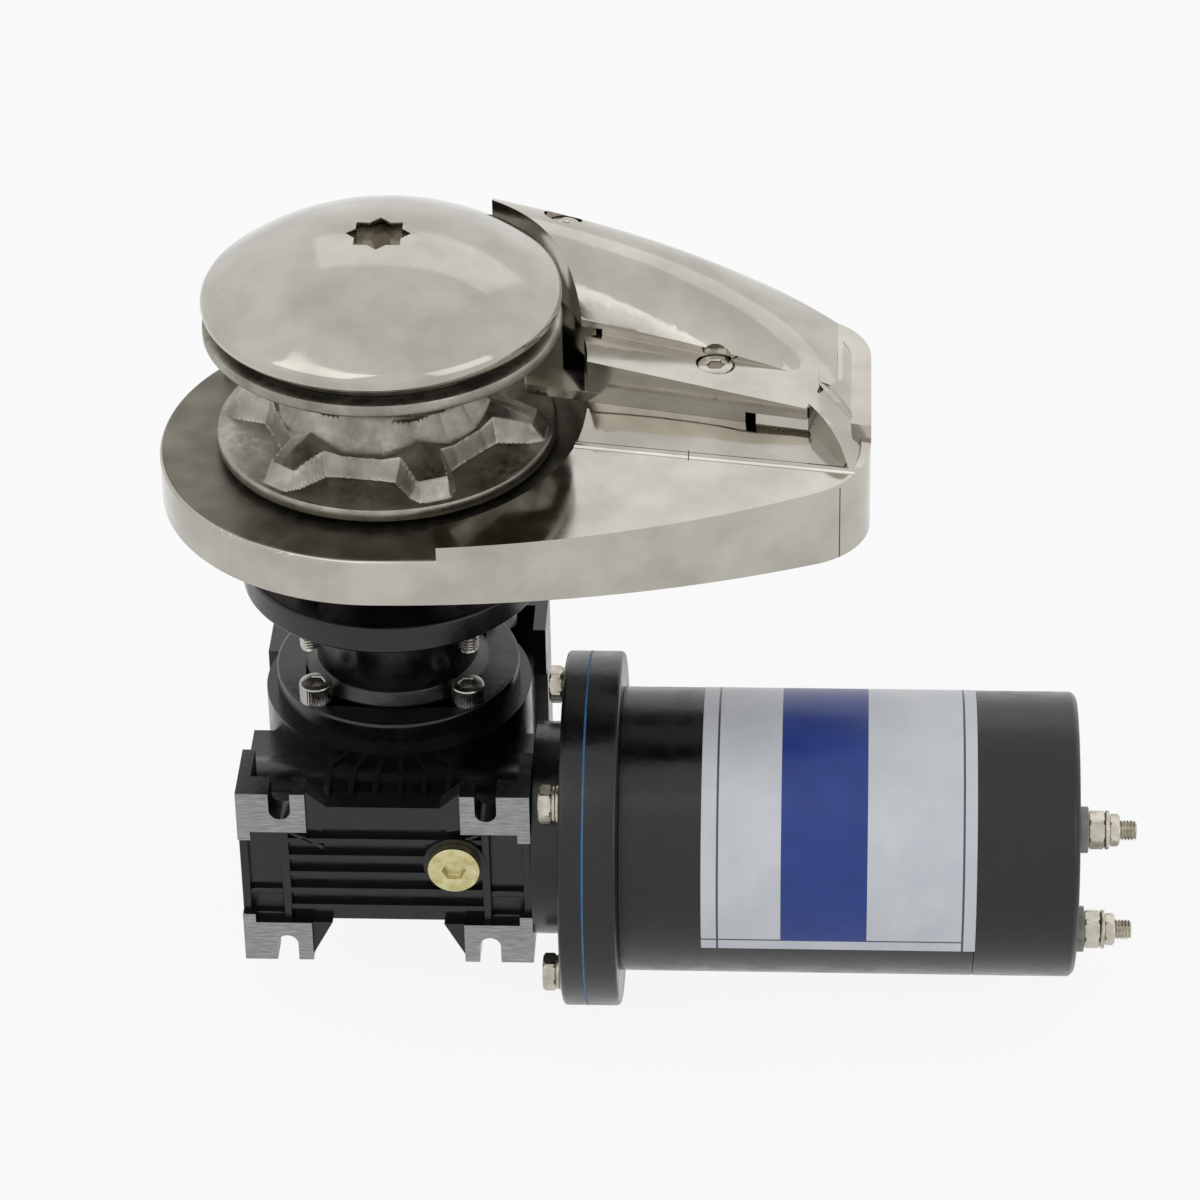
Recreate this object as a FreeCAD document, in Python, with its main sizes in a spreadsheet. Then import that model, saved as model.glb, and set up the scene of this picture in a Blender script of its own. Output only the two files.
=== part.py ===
import FreeCAD, Part
import math
import os

import Sketcher

# A vertical anchor windlass: a deck unit with chain wheel and clutch cap, hung under the deck a worm
# gearbox and a direct-current motor.  Lengths are millimetres.  The vertical shaft is the Z axis, the
# deck unit's underside is z = 0, and +X points from the shaft to the nose of the deck plate.

SIZES = [
    # deck plate: a large round end about the shaft and a smaller one at the nose
    ("plate_radius", 88.5),
    ("side_radius", 455.0),
    ("nose_reach", 187.0),
    ("corner_radius", 32.0),
    ("plate_height", 19.5),
    ("plate_skin", 7.5),
    ("plate_wall", 6.0),
    ("plate_edge_round", 2.0),
    ("hub_pad_radius", 58.0),
    ("well_radius", 78.0),
    ("rim_height", 25.5),
    ("bead_height", 30.0),
    ("rim_climb", 4.0),
    ("shelf_height", 41.5),
    ("shelf_offset", 17.6),
    ("shelf_angle", 13.0),
    ("bead_offset", -9.0),
    ("bead_angle", 11.0),
    ("bead_radius", 2.4),
    ("step_angle", 74.0),
    ("nose_height", 49.0),
    ("nose_round", 26.0),
    ("nose_split", 163.0),
    ("pipe_radius", 21.0),
    ("pipe_wall", 5.0),
    ("pipe_x", 101.0),
    ("pipe_y", 42.0),
    ("pipe_relief", 1.5),
    # hood over the chain pipe
    ("hood_margin", 1.5),
    ("hood_start", 38.0),
    ("hood_horn_height", 87.0),
    ("hood_fall", 25.0),
    ("hood_droop", 19.0),
    ("hood_ledge_height", 59.2),
    ("hood_ledge_fall", 13.0),
    ("hood_riser_offset", 36.5),
    ("hood_split_gap", 0.6),
    ("mouth_width", 26.0),
    ("mouth_top", 57.0),
    ("hood_screw_radius", 4.0),
    ("hood_screw_head", 7.0),
    ("hood_screw_head_height", 4.4),
    ("front_screw_x", 127.0),
    ("front_screw_y", 6.2),
    ("front_screw_level", 45.8),
    ("back_screw_x", 66.0),
    ("back_screw_y", 66.0),
    ("back_screw_level", 73.0),
    # chain stripper bar
    ("stripper_thickness", 4.6),
    ("stripper_width", 14.5),
    ("stripper_root_width", 25.0),
    ("stripper_root_length", 34.0),
    ("stripper_reach", 54.5),
    ("stripper_end", 139.0),
    # guard post behind the chain wheel
    ("post_radius", 7.5),
    ("post_height", 14.0),
    ("post_circle", 80.0),
    ("post_angle", 141.0),
    # main shaft and clutch
    ("shaft_radius", 12.5),
    ("shaft_thread_radius", 10.0),
    ("shaft_shoulder", 77.5),
    ("shaft_top", 91.0),
    ("running_gap", 0.05),
    ("seat_gap", 0.3),
    ("bush_wall", 4.0),
    ("bush_length", 15.0),
    ("bush_foot", 4.0),
    ("washer_radius", 27.0),
    ("washer_thickness", 2.0),
    ("cone_large_radius", 32.0),
    ("cone_small_radius", 26.0),
    ("cone_length", 22.0),
    ("cone_flange_radius", 62.0),
    ("cone_flange_height", 3.7),
    ("key_width", 6.0),
    ("key_rise", 2.5),
    # chain wheel
    ("gypsy_floor_gap", 2.7),
    ("gypsy_height", 53.3),
    ("gypsy_lower_radius", 66.0),
    ("gypsy_upper_radius", 68.8),
    ("gypsy_rim", 5.4),
    ("gypsy_neck_radius", 36.0),
    ("gypsy_cone_radius", 49.0),
    ("rib_radius", 53.0),
    ("rib_width", 11.0),
    ("rib_height", 17.0),
    ("rib_shoulder", 9.5),
    ("pockets", 6),
    ("pocket_turn", 52.0),
    # clutch cap
    ("cap_radius", 69.0),
    ("cap_dome", 31.0),
    ("cap_shoulder", 8.5),
    ("cap_edge", 2.5),
    ("cap_recess", 8.0),
    ("cap_wall", 5.0),
    ("cap_boss_radius", 20.0),
    ("star_across", 24.5),
    ("star_depth", 9.0),
    # deck bolts and mounting spool
    ("deck_thickness", 30.0),
    ("tube_radius", 20.0),
    ("tube_seat", 3.0),
    ("tube_bore", 16.5),
    ("bolt_radius", 4.0),
    ("bolt_neck_radius", 3.8),
    ("bolt_fit_start", 2.5),
    ("bolt_circle", 44.0),
    ("bolt_end", 16.0),
    ("bolt_head_radius", 8.0),
    ("hole_gap", 0.5),
    ("spool_flange_radius", 59.5),
    ("spool_flange_height", 12.0),
    ("spool_neck_radius", 32.0),
    ("spool_height", 61.0),
    ("spool_foot_radius", 48.5),
    ("spool_foot_height", 8.0),
    ("screw_circle", 42.5),
    ("screw_head_radius", 6.5),
    ("screw_head_height", 8.0),
    ("screw_depth", 18.0),
    ("hex_socket", 6.0),
    # worm gearbox
    ("centre_distance", 50.0),
    ("worm_drop", 39.0),
    ("gear_module", 2.5),
    ("wheel_teeth", 30),
    ("wheel_width", 20.0),
    ("rim_seat_radius", 29.0),
    ("worm_pitch_radius", 12.5),
    ("tooth_play", 0.45),
    ("worm_thread_length", 34.0),
    ("journal_radius", 9.0),
    ("case_radius", 53.0),
    ("case_half", 36.0),
    ("boss_radius", 48.5),
    ("cover_radius", 47.0),
    ("relief_depth", 5.0),
    ("web_thickness", 5.0),
    ("web_depth", 30.0),
    ("frame_level", 33.0),
    ("frame_half", 22.0),
    ("frame_thickness", 8.0),
    ("worm_bearing_inset", 2.0),
    ("body_half_length", 57.0),
    ("body_front", 80.0),
    ("body_back", 60.0),
    ("body_half_height", 24.0),
    ("tunnel_radius", 27.0),
    ("tunnel_bore", 20.0),
    ("wheel_room", 43.5),
    ("pad_length", 27.0),
    ("pad_reach", 6.0),
    ("pad_depth", 12.0),
    ("pad_half_height", 40.0),
    ("slot_spacing", 80.0),
    ("slot_radius", 4.2),
    ("slot_level", 32.4),
    ("case_ribs", 6),
    ("rib_pitch", 9.5),
    ("rib_thickness", 2.2),
    ("front_rib_pitch", 8.0),
    ("bearing_width", 11.0),
    ("bearing_radius", 23.0),
    ("cover_thickness", 4.0),
    ("spigot_wall", 6.0),
    ("end_cap_thickness", 6.0),
    ("plug_x", 27.0),
    ("plug_level", 6.0),
    ("plug_radius", 10.2),
    ("plug_height", 4.0),
    # motor adapter and motor
    ("adapter_gap", 12.0),
    ("adapter_neck_radius", 42.0),
    ("adapter_bore", 27.0),
    ("flange_radius", 70.0),
    ("adapter_thickness", 9.5),
    ("front_cap_thickness", 13.0),
    ("flange_bolt_circle", 57.5),
    ("hex_head", 13.0),
    ("hex_head_height", 5.3),
    ("lock_washer_height", 2.7),
    ("flange_bolt_length", 20.0),
    ("motor_radius", 56.0),
    ("motor_wall", 4.0),
    ("tube_length", 137.5),
    ("rear_cap_length", 40.0),
    ("spigot_length", 5.0),
    ("rear_chamfer", 2.0),
    ("magnet_thickness", 10.0),
    ("armature_length", 76.0),
    ("armature_slots", 12),
    ("armature_shaft_radius", 7.0),
    ("magnet_gap", 1.0),
    ("commutator_radius", 18.0),
    ("commutator_length", 20.0),
    ("brush_width", 12.0),
    ("brush_length", 20.0),
    ("brush_depth", 8.0),
    ("brush_plate_thickness", 4.0),
    ("brush_plate_bore", 26.0),
    ("armature_gap", 20.0),
    ("slot_width", 4.0),
    ("slot_depth", 8.0),
    ("motor_bearing_radius", 17.5),
    ("terminal_radius", 4.0),
    ("terminal_neck_radius", 3.7),
    ("terminal_side", 30.0),
    ("terminal_spread", 24.0),
    ("terminal_reach", 22.0),
    ("insulator_radius", 9.0),
    ("insulator_height", 3.5),
    ("terminal_nut", 13.0),
    ("terminal_nut_height", 6.5),
]

doc = FreeCAD.newDocument("anchor_windlass")
sheet = doc.addObject("Spreadsheet::Sheet", "Sizes")


class Length:
    """A size that carries both its number and the spreadsheet expression that gives it."""

    def __init__(self, number, text):
        self.number = float(number)
        self.text = text

    def __add__(self, other):
        other = length(other)
        return Length(self.number + other.number, "(%s + %s)" % (self.text, other.text))

    def __sub__(self, other):
        other = length(other)
        return Length(self.number - other.number, "(%s - %s)" % (self.text, other.text))

    def __mul__(self, other):
        other = length(other)
        return Length(self.number * other.number, "(%s * %s)" % (self.text, other.text))

    def __truediv__(self, other):
        other = length(other)
        return Length(self.number / other.number, "(%s / %s)" % (self.text, other.text))

    def __neg__(self):
        return Length(-self.number, "(0 - %s)" % self.text)

    def __radd__(self, other):
        return length(other) + self

    def __rsub__(self, other):
        return length(other) - self

    def __rmul__(self, other):
        return length(other) * self

    def __float__(self):
        return self.number


def length(value):
    """Turn a plain number into a Length; a Length stays as it is."""
    if isinstance(value, Length):
        return value
    return Length(value, "%.9g" % value)


class SizeTable:
    """Fills the spreadsheet and gives each alias as an attribute."""

    def __init__(self, rows):
        for row, (alias, value) in enumerate(rows, start=1):
            sheet.set("A%d" % row, alias)
            sheet.set("B%d" % row, str(value))
            sheet.setAlias("B%d" % row, alias)
        doc.recompute()
        for alias, _ in rows:
            setattr(self, alias, Length(sheet.get(alias), "Sizes.%s" % alias))


s = SizeTable(SIZES)
ORIGIN = (0, 0, 0)
AXIS_TURN = {
    "Z": FreeCAD.Rotation(),
    "X": FreeCAD.Rotation(FreeCAD.Vector(0, 1, 0), 90),
    "Y": FreeCAD.Rotation(FreeCAD.Vector(1, 0, 0), -90),
}
nodes = []


def bind(item, name, value):
    """Tie a property or constraint of a document object to a size."""
    value = length(value)
    if value.text.replace(".", "").replace("-", "").replace("e", "").isdigit():
        if name.startswith("Placement.Base."):
            base = item.Placement.Base
            setattr(base, name[-1], value.number)
            item.Placement = FreeCAD.Placement(base, item.Placement.Rotation)
            return
        if not name.startswith("Constraints."):
            setattr(item, name, value.number)
            return
    item.setExpression(name, value.text)


def place(item, at, rotation=None):
    """Put an object at a point given by three sizes, turned by a rotation."""
    numbers = [float(part) for part in at]
    item.Placement = FreeCAD.Placement(FreeCAD.Vector(*numbers), rotation or FreeCAD.Rotation())
    for name, part in zip("xyz", at):
        if isinstance(part, Length):
            item.setExpression("Placement.Base.%s" % name, part.text)
    return item


def keep(item, label):
    """Name a finished sub-part; its shape becomes the file of that name."""
    item.Label = label
    nodes.append(item)
    return item


def cylinder(name, radius, height, at=ORIGIN, axis="Z"):
    item = doc.addObject("Part::Cylinder", name)
    bind(item, "Radius", radius)
    bind(item, "Height", height)
    return place(item, at, AXIS_TURN[axis])


def cone(name, radius_low, radius_high, height, at=ORIGIN, axis="Z"):
    item = doc.addObject("Part::Cone", name)
    bind(item, "Radius1", radius_low)
    bind(item, "Radius2", radius_high)
    bind(item, "Height", height)
    return place(item, at, AXIS_TURN[axis])


def box(name, size, at, turn=0.0):
    item = doc.addObject("Part::Box", name)
    for prop, value in zip(("Length", "Width", "Height"), size):
        bind(item, prop, value)
    return place(item, at, FreeCAD.Rotation(FreeCAD.Vector(0, 0, 1), turn))


def hexagon(name, across_flats, height, at, axis="Z"):
    item = doc.addObject("Part::Prism", name)
    item.Polygon = 6
    bind(item, "Circumradius", across_flats / math.sqrt(3.0))
    bind(item, "Height", height)
    return place(item, at, AXIS_TURN[axis])


def fuse(name, pieces):
    item = doc.addObject("Part::MultiFuse", name)
    item.Shapes = pieces
    return item


def cut(name, base, tools):
    item = doc.addObject("Part::Cut", name)
    item.Base = base
    item.Tool = tools[0] if len(tools) == 1 else fuse(name + "_tools", tools)
    return item


def common(name, pieces):
    item = doc.addObject("Part::MultiCommon", name)
    item.Shapes = pieces
    return item


def solid(name, shape):
    """A lofted or swept solid that no parametric feature describes, made from the same sizes."""
    item = doc.addObject("Part::Feature", name)
    item.Shape = shape
    return item


def origin_plane(body, role):
    for feature in body.Origin.OriginFeatures:
        if feature.Role == role:
            return feature
    raise ValueError(role)


def outline(body, name, plane, points, bulges=None):
    """A closed sketch whose corners are fixed by sizes; bulges gives the radius of an arc side."""
    bulges = bulges or {}
    sketch = body.newObject("Sketcher::SketchObject", name)
    sketch.AttachmentSupport = [(origin_plane(body, plane), "")]
    sketch.MapMode = "FlatFace"
    numbers = [(float(u), float(v)) for u, v in points]
    count = len(points)
    ends = []
    for side in range(count):
        start = FreeCAD.Vector(*numbers[side], 0)
        stop = FreeCAD.Vector(*numbers[(side + 1) % count], 0)
        if side in bulges:
            middle = arc_middle(start, stop, float(bulges[side]))
            index = sketch.addGeometry(Part.Arc(start, middle, stop), False)
            drawn = sketch.Geometry[index]
            forward = drawn.StartPoint.distanceToPoint(start) < drawn.EndPoint.distanceToPoint(start)
            ends.append((index, 1 if forward else 2, 2 if forward else 1))
        else:
            index = sketch.addGeometry(Part.LineSegment(start, stop), False)
            ends.append((index, 1, 2))
    for side in range(count):
        index, first, last = ends[side]
        following, begin, _ = ends[(side + 1) % count]
        sketch.addConstraint(Sketcher.Constraint("Coincident", index, last, following, begin))
    for side, (u, v) in enumerate(points):
        index, first, _ = ends[side]
        for kind, value in (("DistanceX", u), ("DistanceY", v)):
            here = sketch.addConstraint(Sketcher.Constraint(kind, -1, 1, index, first, float(value)))
            sketch.setExpression("Constraints[%d]" % here, length(value).text)
        if side in bulges:
            radius = bulges[side]
            here = sketch.addConstraint(Sketcher.Constraint("Radius", index, abs(float(radius))))
            if isinstance(radius, Length):
                sketch.setExpression("Constraints[%d]" % here, "abs(%s)" % radius.text)
    return sketch


def arc_middle(start, stop, radius):
    """The middle of the short arc between two points; a positive radius bulges to the right."""
    chord = stop - start
    half = chord.Length / 2
    rise = abs(radius) - math.sqrt(max(radius * radius - half * half, 0.0))
    side = FreeCAD.Vector(chord.y, -chord.x, 0).normalize()
    return start + chord * 0.5 + side * math.copysign(rise, radius)


def turned(name, points, axis="Z", at=ORIGIN, bulges=None):
    """A lathe-turned body.  Points are (radius, level) about Z, or (position, radius) along X."""
    body = doc.addObject("PartDesign::Body", name)
    sketch = outline(body, name + "_profile", "XZ_Plane", points, bulges)
    turn = body.newObject("PartDesign::Revolution", name + "_turn")
    turn.Profile = sketch
    turn.ReferenceAxis = (sketch, ["V_Axis" if axis == "Z" else "H_Axis"])
    turn.Angle = 360
    sketch.Visibility = False
    return place(body, at)


def around(count, first_angle=45.0):
    """Angles of a round pattern, in degrees."""
    return [first_angle + 360.0 * index / count for index in range(count)]


def on_circle(radius, angle):
    turn = math.radians(angle)
    return radius * math.cos(turn), radius * math.sin(turn)


# Levels and stations that follow from the sizes
spool_top = -s.deck_thickness
spool_foot = spool_top - s.spool_height
worm_level = spool_foot - s.worm_drop
worm_line = -s.centre_distance
washer_top = s.plate_height + s.washer_thickness
cone_floor = washer_top + s.running_gap * 4
gypsy_floor = s.plate_height + s.gypsy_floor_gap
gypsy_top = gypsy_floor + s.gypsy_height
cone_top = gypsy_top + s.seat_gap + s.cone_flange_height
cap_floor = cone_top + s.seat_gap
adapter_face = s.body_half_length + s.adapter_gap
joint_face = adapter_face + s.adapter_thickness
tube_front = joint_face + s.front_cap_thickness
tube_rear = tube_front + s.tube_length
motor_end = tube_rear + s.rear_cap_length
motor_axis = (0, worm_line, worm_level)
rim_inner = s.motor_radius - s.motor_wall
clearance_hole = s.bolt_radius + s.hole_gap
tapped_hole = s.bolt_radius + s.running_gap


# ---------------------------------------------------------------- deck plate
def nose_corner():
    """The centre of the nose's rounded corner and the direction from it to the bowed side."""
    across = float(s.nose_reach - s.corner_radius)
    span = float(s.side_radius - s.corner_radius)
    side_centre = float(s.side_radius - s.plate_radius)
    return across, math.sqrt(span * span - across * across) - side_centre, math.asin(across / span)


def plan_shape(inset, low, high):
    """A prism over the plate's plan: a round end, bowed sides, rounded corners and a straight nose."""
    big = float(s.plate_radius) - inset
    side = float(s.side_radius) - inset
    small = float(s.corner_radius) - inset
    side_centre = float(s.side_radius - s.plate_radius)
    corner_x, corner_y, lean = nose_corner()
    half_turn = (math.pi / 2 - lean) / 2
    quarter = [
        (0.0, big),
        (side * math.sin(lean / 2), side * math.cos(lean / 2) - side_centre),
        (side * math.sin(lean), side * math.cos(lean) - side_centre),
        (corner_x + small * math.cos(half_turn), corner_y + small * math.sin(half_turn)),
        (corner_x + small, corner_y),
    ]
    near = [FreeCAD.Vector(x, -y, low) for x, y in quarter]
    far = [FreeCAD.Vector(x, y, low) for x, y in quarter]
    edges = [
        Part.Arc(near[0], near[1], near[2]).toShape(),
        Part.Arc(near[2], near[3], near[4]).toShape(),
        Part.makeLine(near[4], far[4]),
        Part.Arc(far[4], far[3], far[2]).toShape(),
        Part.Arc(far[2], far[1], far[0]).toShape(),
        Part.Arc(far[0], FreeCAD.Vector(-big, 0, low), near[0]).toShape(),
    ]
    return Part.Face(Part.Wire(edges)).extrude(FreeCAD.Vector(0, 0, high - low))


def half_breadth(x, inset):
    """Half the plate's breadth at a station x."""
    big = float(s.plate_radius) - inset
    side = float(s.side_radius) - inset
    small = float(s.corner_radius) - inset
    corner_x, corner_y, lean = nose_corner()
    if x < 0:
        return math.sqrt(max(big * big - x * x, 0.0))
    if x < side * math.sin(lean):
        return math.sqrt(side * side - x * x) - float(s.side_radius - s.plate_radius)
    return corner_y + math.sqrt(max(small * small - (x - corner_x) ** 2, 0.0))


def prism(points, direction):
    """A straight prism over a polygon of corner points."""
    corners = [FreeCAD.Vector(*point) for point in points]
    return Part.Face(Part.makePolygon(corners + corners[:1])).extrude(FreeCAD.Vector(*direction))


def ramp_line(offset, angle, x):
    """The plan position y at station x of a line that runs along the chain ramp."""
    return float(offset) - x * math.tan(math.radians(float(angle)))


def ramp_section(x, rim, bead):
    """The raised part's cross-section: outer facet, valley line, inner facet and hood seat."""
    reach = float(s.plate_radius) + 12.0
    valley = ramp_line(s.bead_offset, s.bead_angle, x)
    wall = ramp_line(s.shelf_offset, s.shelf_angle, x)
    points = [(x, -reach, -1.0), (x, -reach, rim - 1.5), (x, valley, bead),
              (x, wall, float(s.shelf_height - s.stripper_thickness)),
              (x, wall + 1.5, float(s.shelf_height)),
              (x, reach, float(s.shelf_height)), (x, reach, -1.0)]
    corners = [FreeCAD.Vector(*point) for point in points]
    return Part.makePolygon(corners + corners[:1])


def ramp_form():
    """The raised part's top: a shallow valley with a bead along it, running out at the nose."""
    start, stop = 0.0, float(s.nose_reach) + 5.0
    sections = [ramp_section(start, float(s.rim_height), float(s.bead_height)),
                ramp_section(stop, float(s.rim_height + s.rim_climb), float(s.bead_height + s.rim_climb))]
    body = Part.makeLoft(sections, True, True)
    ends = [FreeCAD.Vector(x, ramp_line(s.bead_offset, s.bead_angle, x), level)
            for x, level in ((start, float(s.bead_height)), (stop, float(s.bead_height + s.rim_climb)))]
    way = ends[1] - ends[0]
    sink = FreeCAD.Vector(0, 0, -0.5 * float(s.bead_radius))
    return body.fuse(Part.makeCylinder(float(s.bead_radius), way.Length, ends[0] + sink, way))


def stripper_form(start, stop, play, low, high):
    """A flat bar along the hood wall with a wider root, used for the bar itself and for its recess."""
    slope = math.tan(math.radians(float(s.shelf_angle)))
    widen = float(s.stripper_end - s.stripper_root_length) - play
    narrow, wide = float(s.stripper_width) + play, float(s.stripper_root_width) + play
    corners = [(start, 0.0), (stop, 0.0), (stop, wide), (widen, wide), (widen, narrow), (start, narrow)]
    base = float(s.shelf_offset)
    return prism([(x, base - slope * x + across, low) for x, across in corners], (0, 0, high - low))


def mouth_form(low, high):
    """The way that the chain takes from the chain wheel to the pipe."""
    angle = math.degrees(math.atan2(float(s.pipe_y), float(s.pipe_x)))
    reach = math.hypot(float(s.pipe_x), float(s.pipe_y))
    channel = Part.makeBox(reach, float(s.mouth_width), high - low,
                           FreeCAD.Vector(0, -float(s.mouth_width) / 2, low))
    channel.rotate(FreeCAD.Vector(0, 0, 0), FreeCAD.Vector(0, 0, 1), angle)
    pipe = Part.makeCylinder(float(s.pipe_radius + s.pipe_relief), high - low,
                             FreeCAD.Vector(float(s.pipe_x), float(s.pipe_y), low))
    return channel.fuse(pipe)


def edges_at(shape, level):
    return [edge for edge in shape.Edges
            if abs(edge.BoundBox.ZMin - level) < 0.01 and abs(edge.BoundBox.ZMax - level) < 0.01]


def nose_zone(gap, top):
    """The plan zone right of the line where the hood ends and the plate's own nose begins."""
    split = float(s.nose_split) + gap
    wall = ramp_line(s.shelf_offset, s.shelf_angle, split)
    breadth = float(s.plate_radius) + 5.0
    tip = ramp_line(s.bead_offset, s.bead_angle, split + 15.0)
    return prism([(split, wall, 0), (split + 15.0, tip, 0), (split + 70.0, tip - 30.0, 0),
                  (split + 70.0, breadth, 0), (split + 13.0, breadth, 0), (split + 13.0, wall + 26.0, 0)],
                 (0, 0, top))


def deck_plate():
    round_end = plan_shape(0.0, 0.0, float(s.plate_height))
    round_end = round_end.makeFillet(float(s.plate_edge_round), edges_at(round_end, float(s.plate_height)))
    step = math.radians(float(s.step_angle))
    far = 400.0
    sector = prism([(0, 0, 1), (far * math.cos(step), -far * math.sin(step), 1),
                    (far, -far, 1), (far, far, 1), (far * math.cos(step), far * math.sin(step), 1)],
                   (0, 0, 200))
    well = Part.makeCylinder(float(s.well_radius), 300, FreeCAD.Vector(0, 0, float(s.plate_height)))
    raised = plan_shape(0.0, 0.0, 100.0).common(ramp_form()).common(sector).cut(well)
    nose = plan_shape(0.0, 0.0, float(s.nose_height))
    nose = nose.makeFillet(float(s.nose_round), edges_at(nose, float(s.nose_height)))
    nose = nose.common(nose_zone(0.0, 200.0))
    body = round_end.fuse([raised, nose]).removeSplitter()
    hollow = plan_shape(float(s.plate_wall), -1.0, float(s.plate_height) - float(s.plate_skin))
    hollow = hollow.cut(Part.makeCylinder(float(s.hub_pad_radius), 60, FreeCAD.Vector(0, 0, -2)))
    pipe = FreeCAD.Vector(float(s.pipe_x), float(s.pipe_y), -2)
    hollow = hollow.cut(Part.makeCylinder(float(s.pipe_radius + s.pipe_wall), 60, pipe))
    recess = stripper_form(0.0, float(s.stripper_end) + 4.0, 1.0,
                           float(s.shelf_height - s.stripper_thickness), 100.0)
    mouth = mouth_form(float(s.rim_height), 100.0)
    return solid("deck_plate_casting", body.cut([hollow, recess, mouth]))


plate_tools = [
    cylinder("plate_shaft_bore", s.shaft_radius + s.bush_wall, 3 * s.plate_height,
             (0, 0, -s.plate_height)),
    cylinder("plate_tube_seat", s.tube_radius + s.hole_gap, s.tube_seat + 1, (0, 0, -1)),
    cylinder("plate_pipe_bore", s.pipe_radius, 4 * s.plate_height, (s.pipe_x, s.pipe_y, -s.plate_height)),
]
for index, angle in enumerate(around(4)):
    x, y = on_circle(s.bolt_circle, angle)
    plate_tools.append(cylinder("plate_bolt_hole_%d" % index, clearance_hole, 3 * s.plate_height,
                                (x, y, -s.plate_height)))
    plate_tools.append(cone("plate_countersink_%d" % index, s.bolt_radius + s.running_gap,
                            s.bolt_head_radius + s.hole_gap,
                            s.bolt_head_radius + s.hole_gap - s.bolt_radius,
                            (x, y, s.plate_height - (s.bolt_head_radius + s.hole_gap - s.bolt_radius))))
for name, x, y in (("front", s.front_screw_x, s.front_screw_y), ("back", s.back_screw_x, s.back_screw_y)):
    plate_tools.append(cylinder("plate_tapped_%s" % name, s.hood_screw_radius + s.running_gap,
                                s.shelf_height, (x, y, s.plate_height - s.plate_skin + 2)))
post_x, post_y = on_circle(s.post_circle, float(s.post_angle))
plate = cut("deck_plate", deck_plate(), plate_tools)
keep(plate, "deck_plate")


# ---------------------------------------------------------------- hood over the chain pipe
HOOD_STATIONS = (15.0, 45.0, 88.0, 131.0, 174.0)
HOOD_CREST = 0.6            # where the crown's top lies between the near and the far side
HOOD_NEAR_SHOULDER = 0.47   # how far up the near side the crown begins
HOOD_FAR_SHOULDER = 0.68    # how far up the far side the crown ends


def hood_section(x):
    """One cross-section of the hood: flat floor, upright near side, crowned top, far side."""
    part = (x - HOOD_STATIONS[1]) / (HOOD_STATIONS[-1] - HOOD_STATIONS[1])
    floor = float(s.shelf_height)
    far = half_breadth(x, float(s.hood_margin))
    near = ramp_line(s.hood_riser_offset, s.bead_angle, x)
    top = float(s.hood_horn_height - s.hood_fall * part - s.hood_droop * part ** 3)
    crest = near + (far - near) * HOOD_CREST
    points = [FreeCAD.Vector(x, near, floor),
              FreeCAD.Vector(x, near, floor + (top - floor) * HOOD_NEAR_SHOULDER),
              FreeCAD.Vector(x, crest, top),
              FreeCAD.Vector(x, far, floor + (top - floor) * HOOD_FAR_SHOULDER),
              FreeCAD.Vector(x, far, floor)]
    edges = [Part.makeLine(points[0], points[1]), Part.Arc(points[1], points[2], points[3]).toShape(),
             Part.makeLine(points[3], points[4]), Part.makeLine(points[4], points[0])]
    return Part.Wire(edges)


def hood_ledge():
    """The lower step along the hood's near side, falling to the nose; it takes the front screw."""
    floor = float(s.shelf_height)
    start, stop = float(s.hood_start), float(s.nose_split) + 4.0
    wall = [ramp_line(s.shelf_offset, s.shelf_angle, x) - 0.4 for x in (start, stop)]
    inner = [ramp_line(s.hood_riser_offset, s.bead_angle, x) + 6.0 for x in (start, stop)]
    high = float(s.hood_ledge_height)
    low = high - float(s.hood_ledge_fall)
    plan = prism([(start, wall[0], floor), (stop, wall[1], floor), (stop, inner[1], floor),
                  (start, inner[0], floor)], (0, 0, high - floor))
    slope = prism([(start, wall[1] - 5.0, floor), (stop, wall[1] - 5.0, floor), (stop, wall[1] - 5.0, low),
                   (start, wall[1] - 5.0, high)], (0, 200.0, 0))
    return plan.common(slope)


def hood():
    form = Part.makeLoft([hood_section(x) for x in HOOD_STATIONS], True, False)
    form = form.fuse(hood_ledge())
    well = Part.makeCylinder(float(s.well_radius), 200, FreeCAD.Vector(0, 0, 0))
    ends = Part.makeBox(60, 200, 200, FreeCAD.Vector(float(s.hood_start) - 60, -20, 0))
    form = form.cut([well, ends, nose_zone(-float(s.hood_split_gap), 200.0)])
    return form.cut(mouth_form(0.0, float(s.mouth_top)))


def socket_screw(name, at, radius, head_radius, head_height, depth, across):
    """A cap screw that stands head up: its head sits at the given level and its shank goes down."""
    x, y, seat = at
    body = fuse(name + "_body", [
        cylinder(name + "_head", head_radius, head_height, (x, y, seat)),
        cylinder(name + "_shank", radius, depth + 0.5, (x, y, seat - depth))])
    return keep(cut(name, body, [
        hexagon(name + "_socket", across, head_height, (x, y, seat + head_height * 0.5))]), name)


hood_tools = []
hood_screws = (("front", s.front_screw_x, s.front_screw_y, s.front_screw_level),
               ("back", s.back_screw_x, s.back_screw_y, s.back_screw_level))
for name, x, y, seat in hood_screws:
    hood_tools.append(cylinder("hood_hole_" + name, s.hood_screw_radius + s.hole_gap, s.hood_horn_height,
                               (x, y, seat - s.hood_horn_height)))
    hood_tools.append(cylinder("hood_sink_" + name, s.hood_screw_head + s.hole_gap, s.hood_horn_height,
                               (x, y, seat)))
keep(cut("chain_hood", solid("chain_hood_casting", hood()), hood_tools), "chain_hood")
for name, x, y, seat in hood_screws:
    socket_screw("hood_screw_" + name, (x, y, seat), s.hood_screw_radius, s.hood_screw_head,
                 s.hood_screw_head_height, seat - s.plate_height + 2, s.hex_socket)


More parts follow.
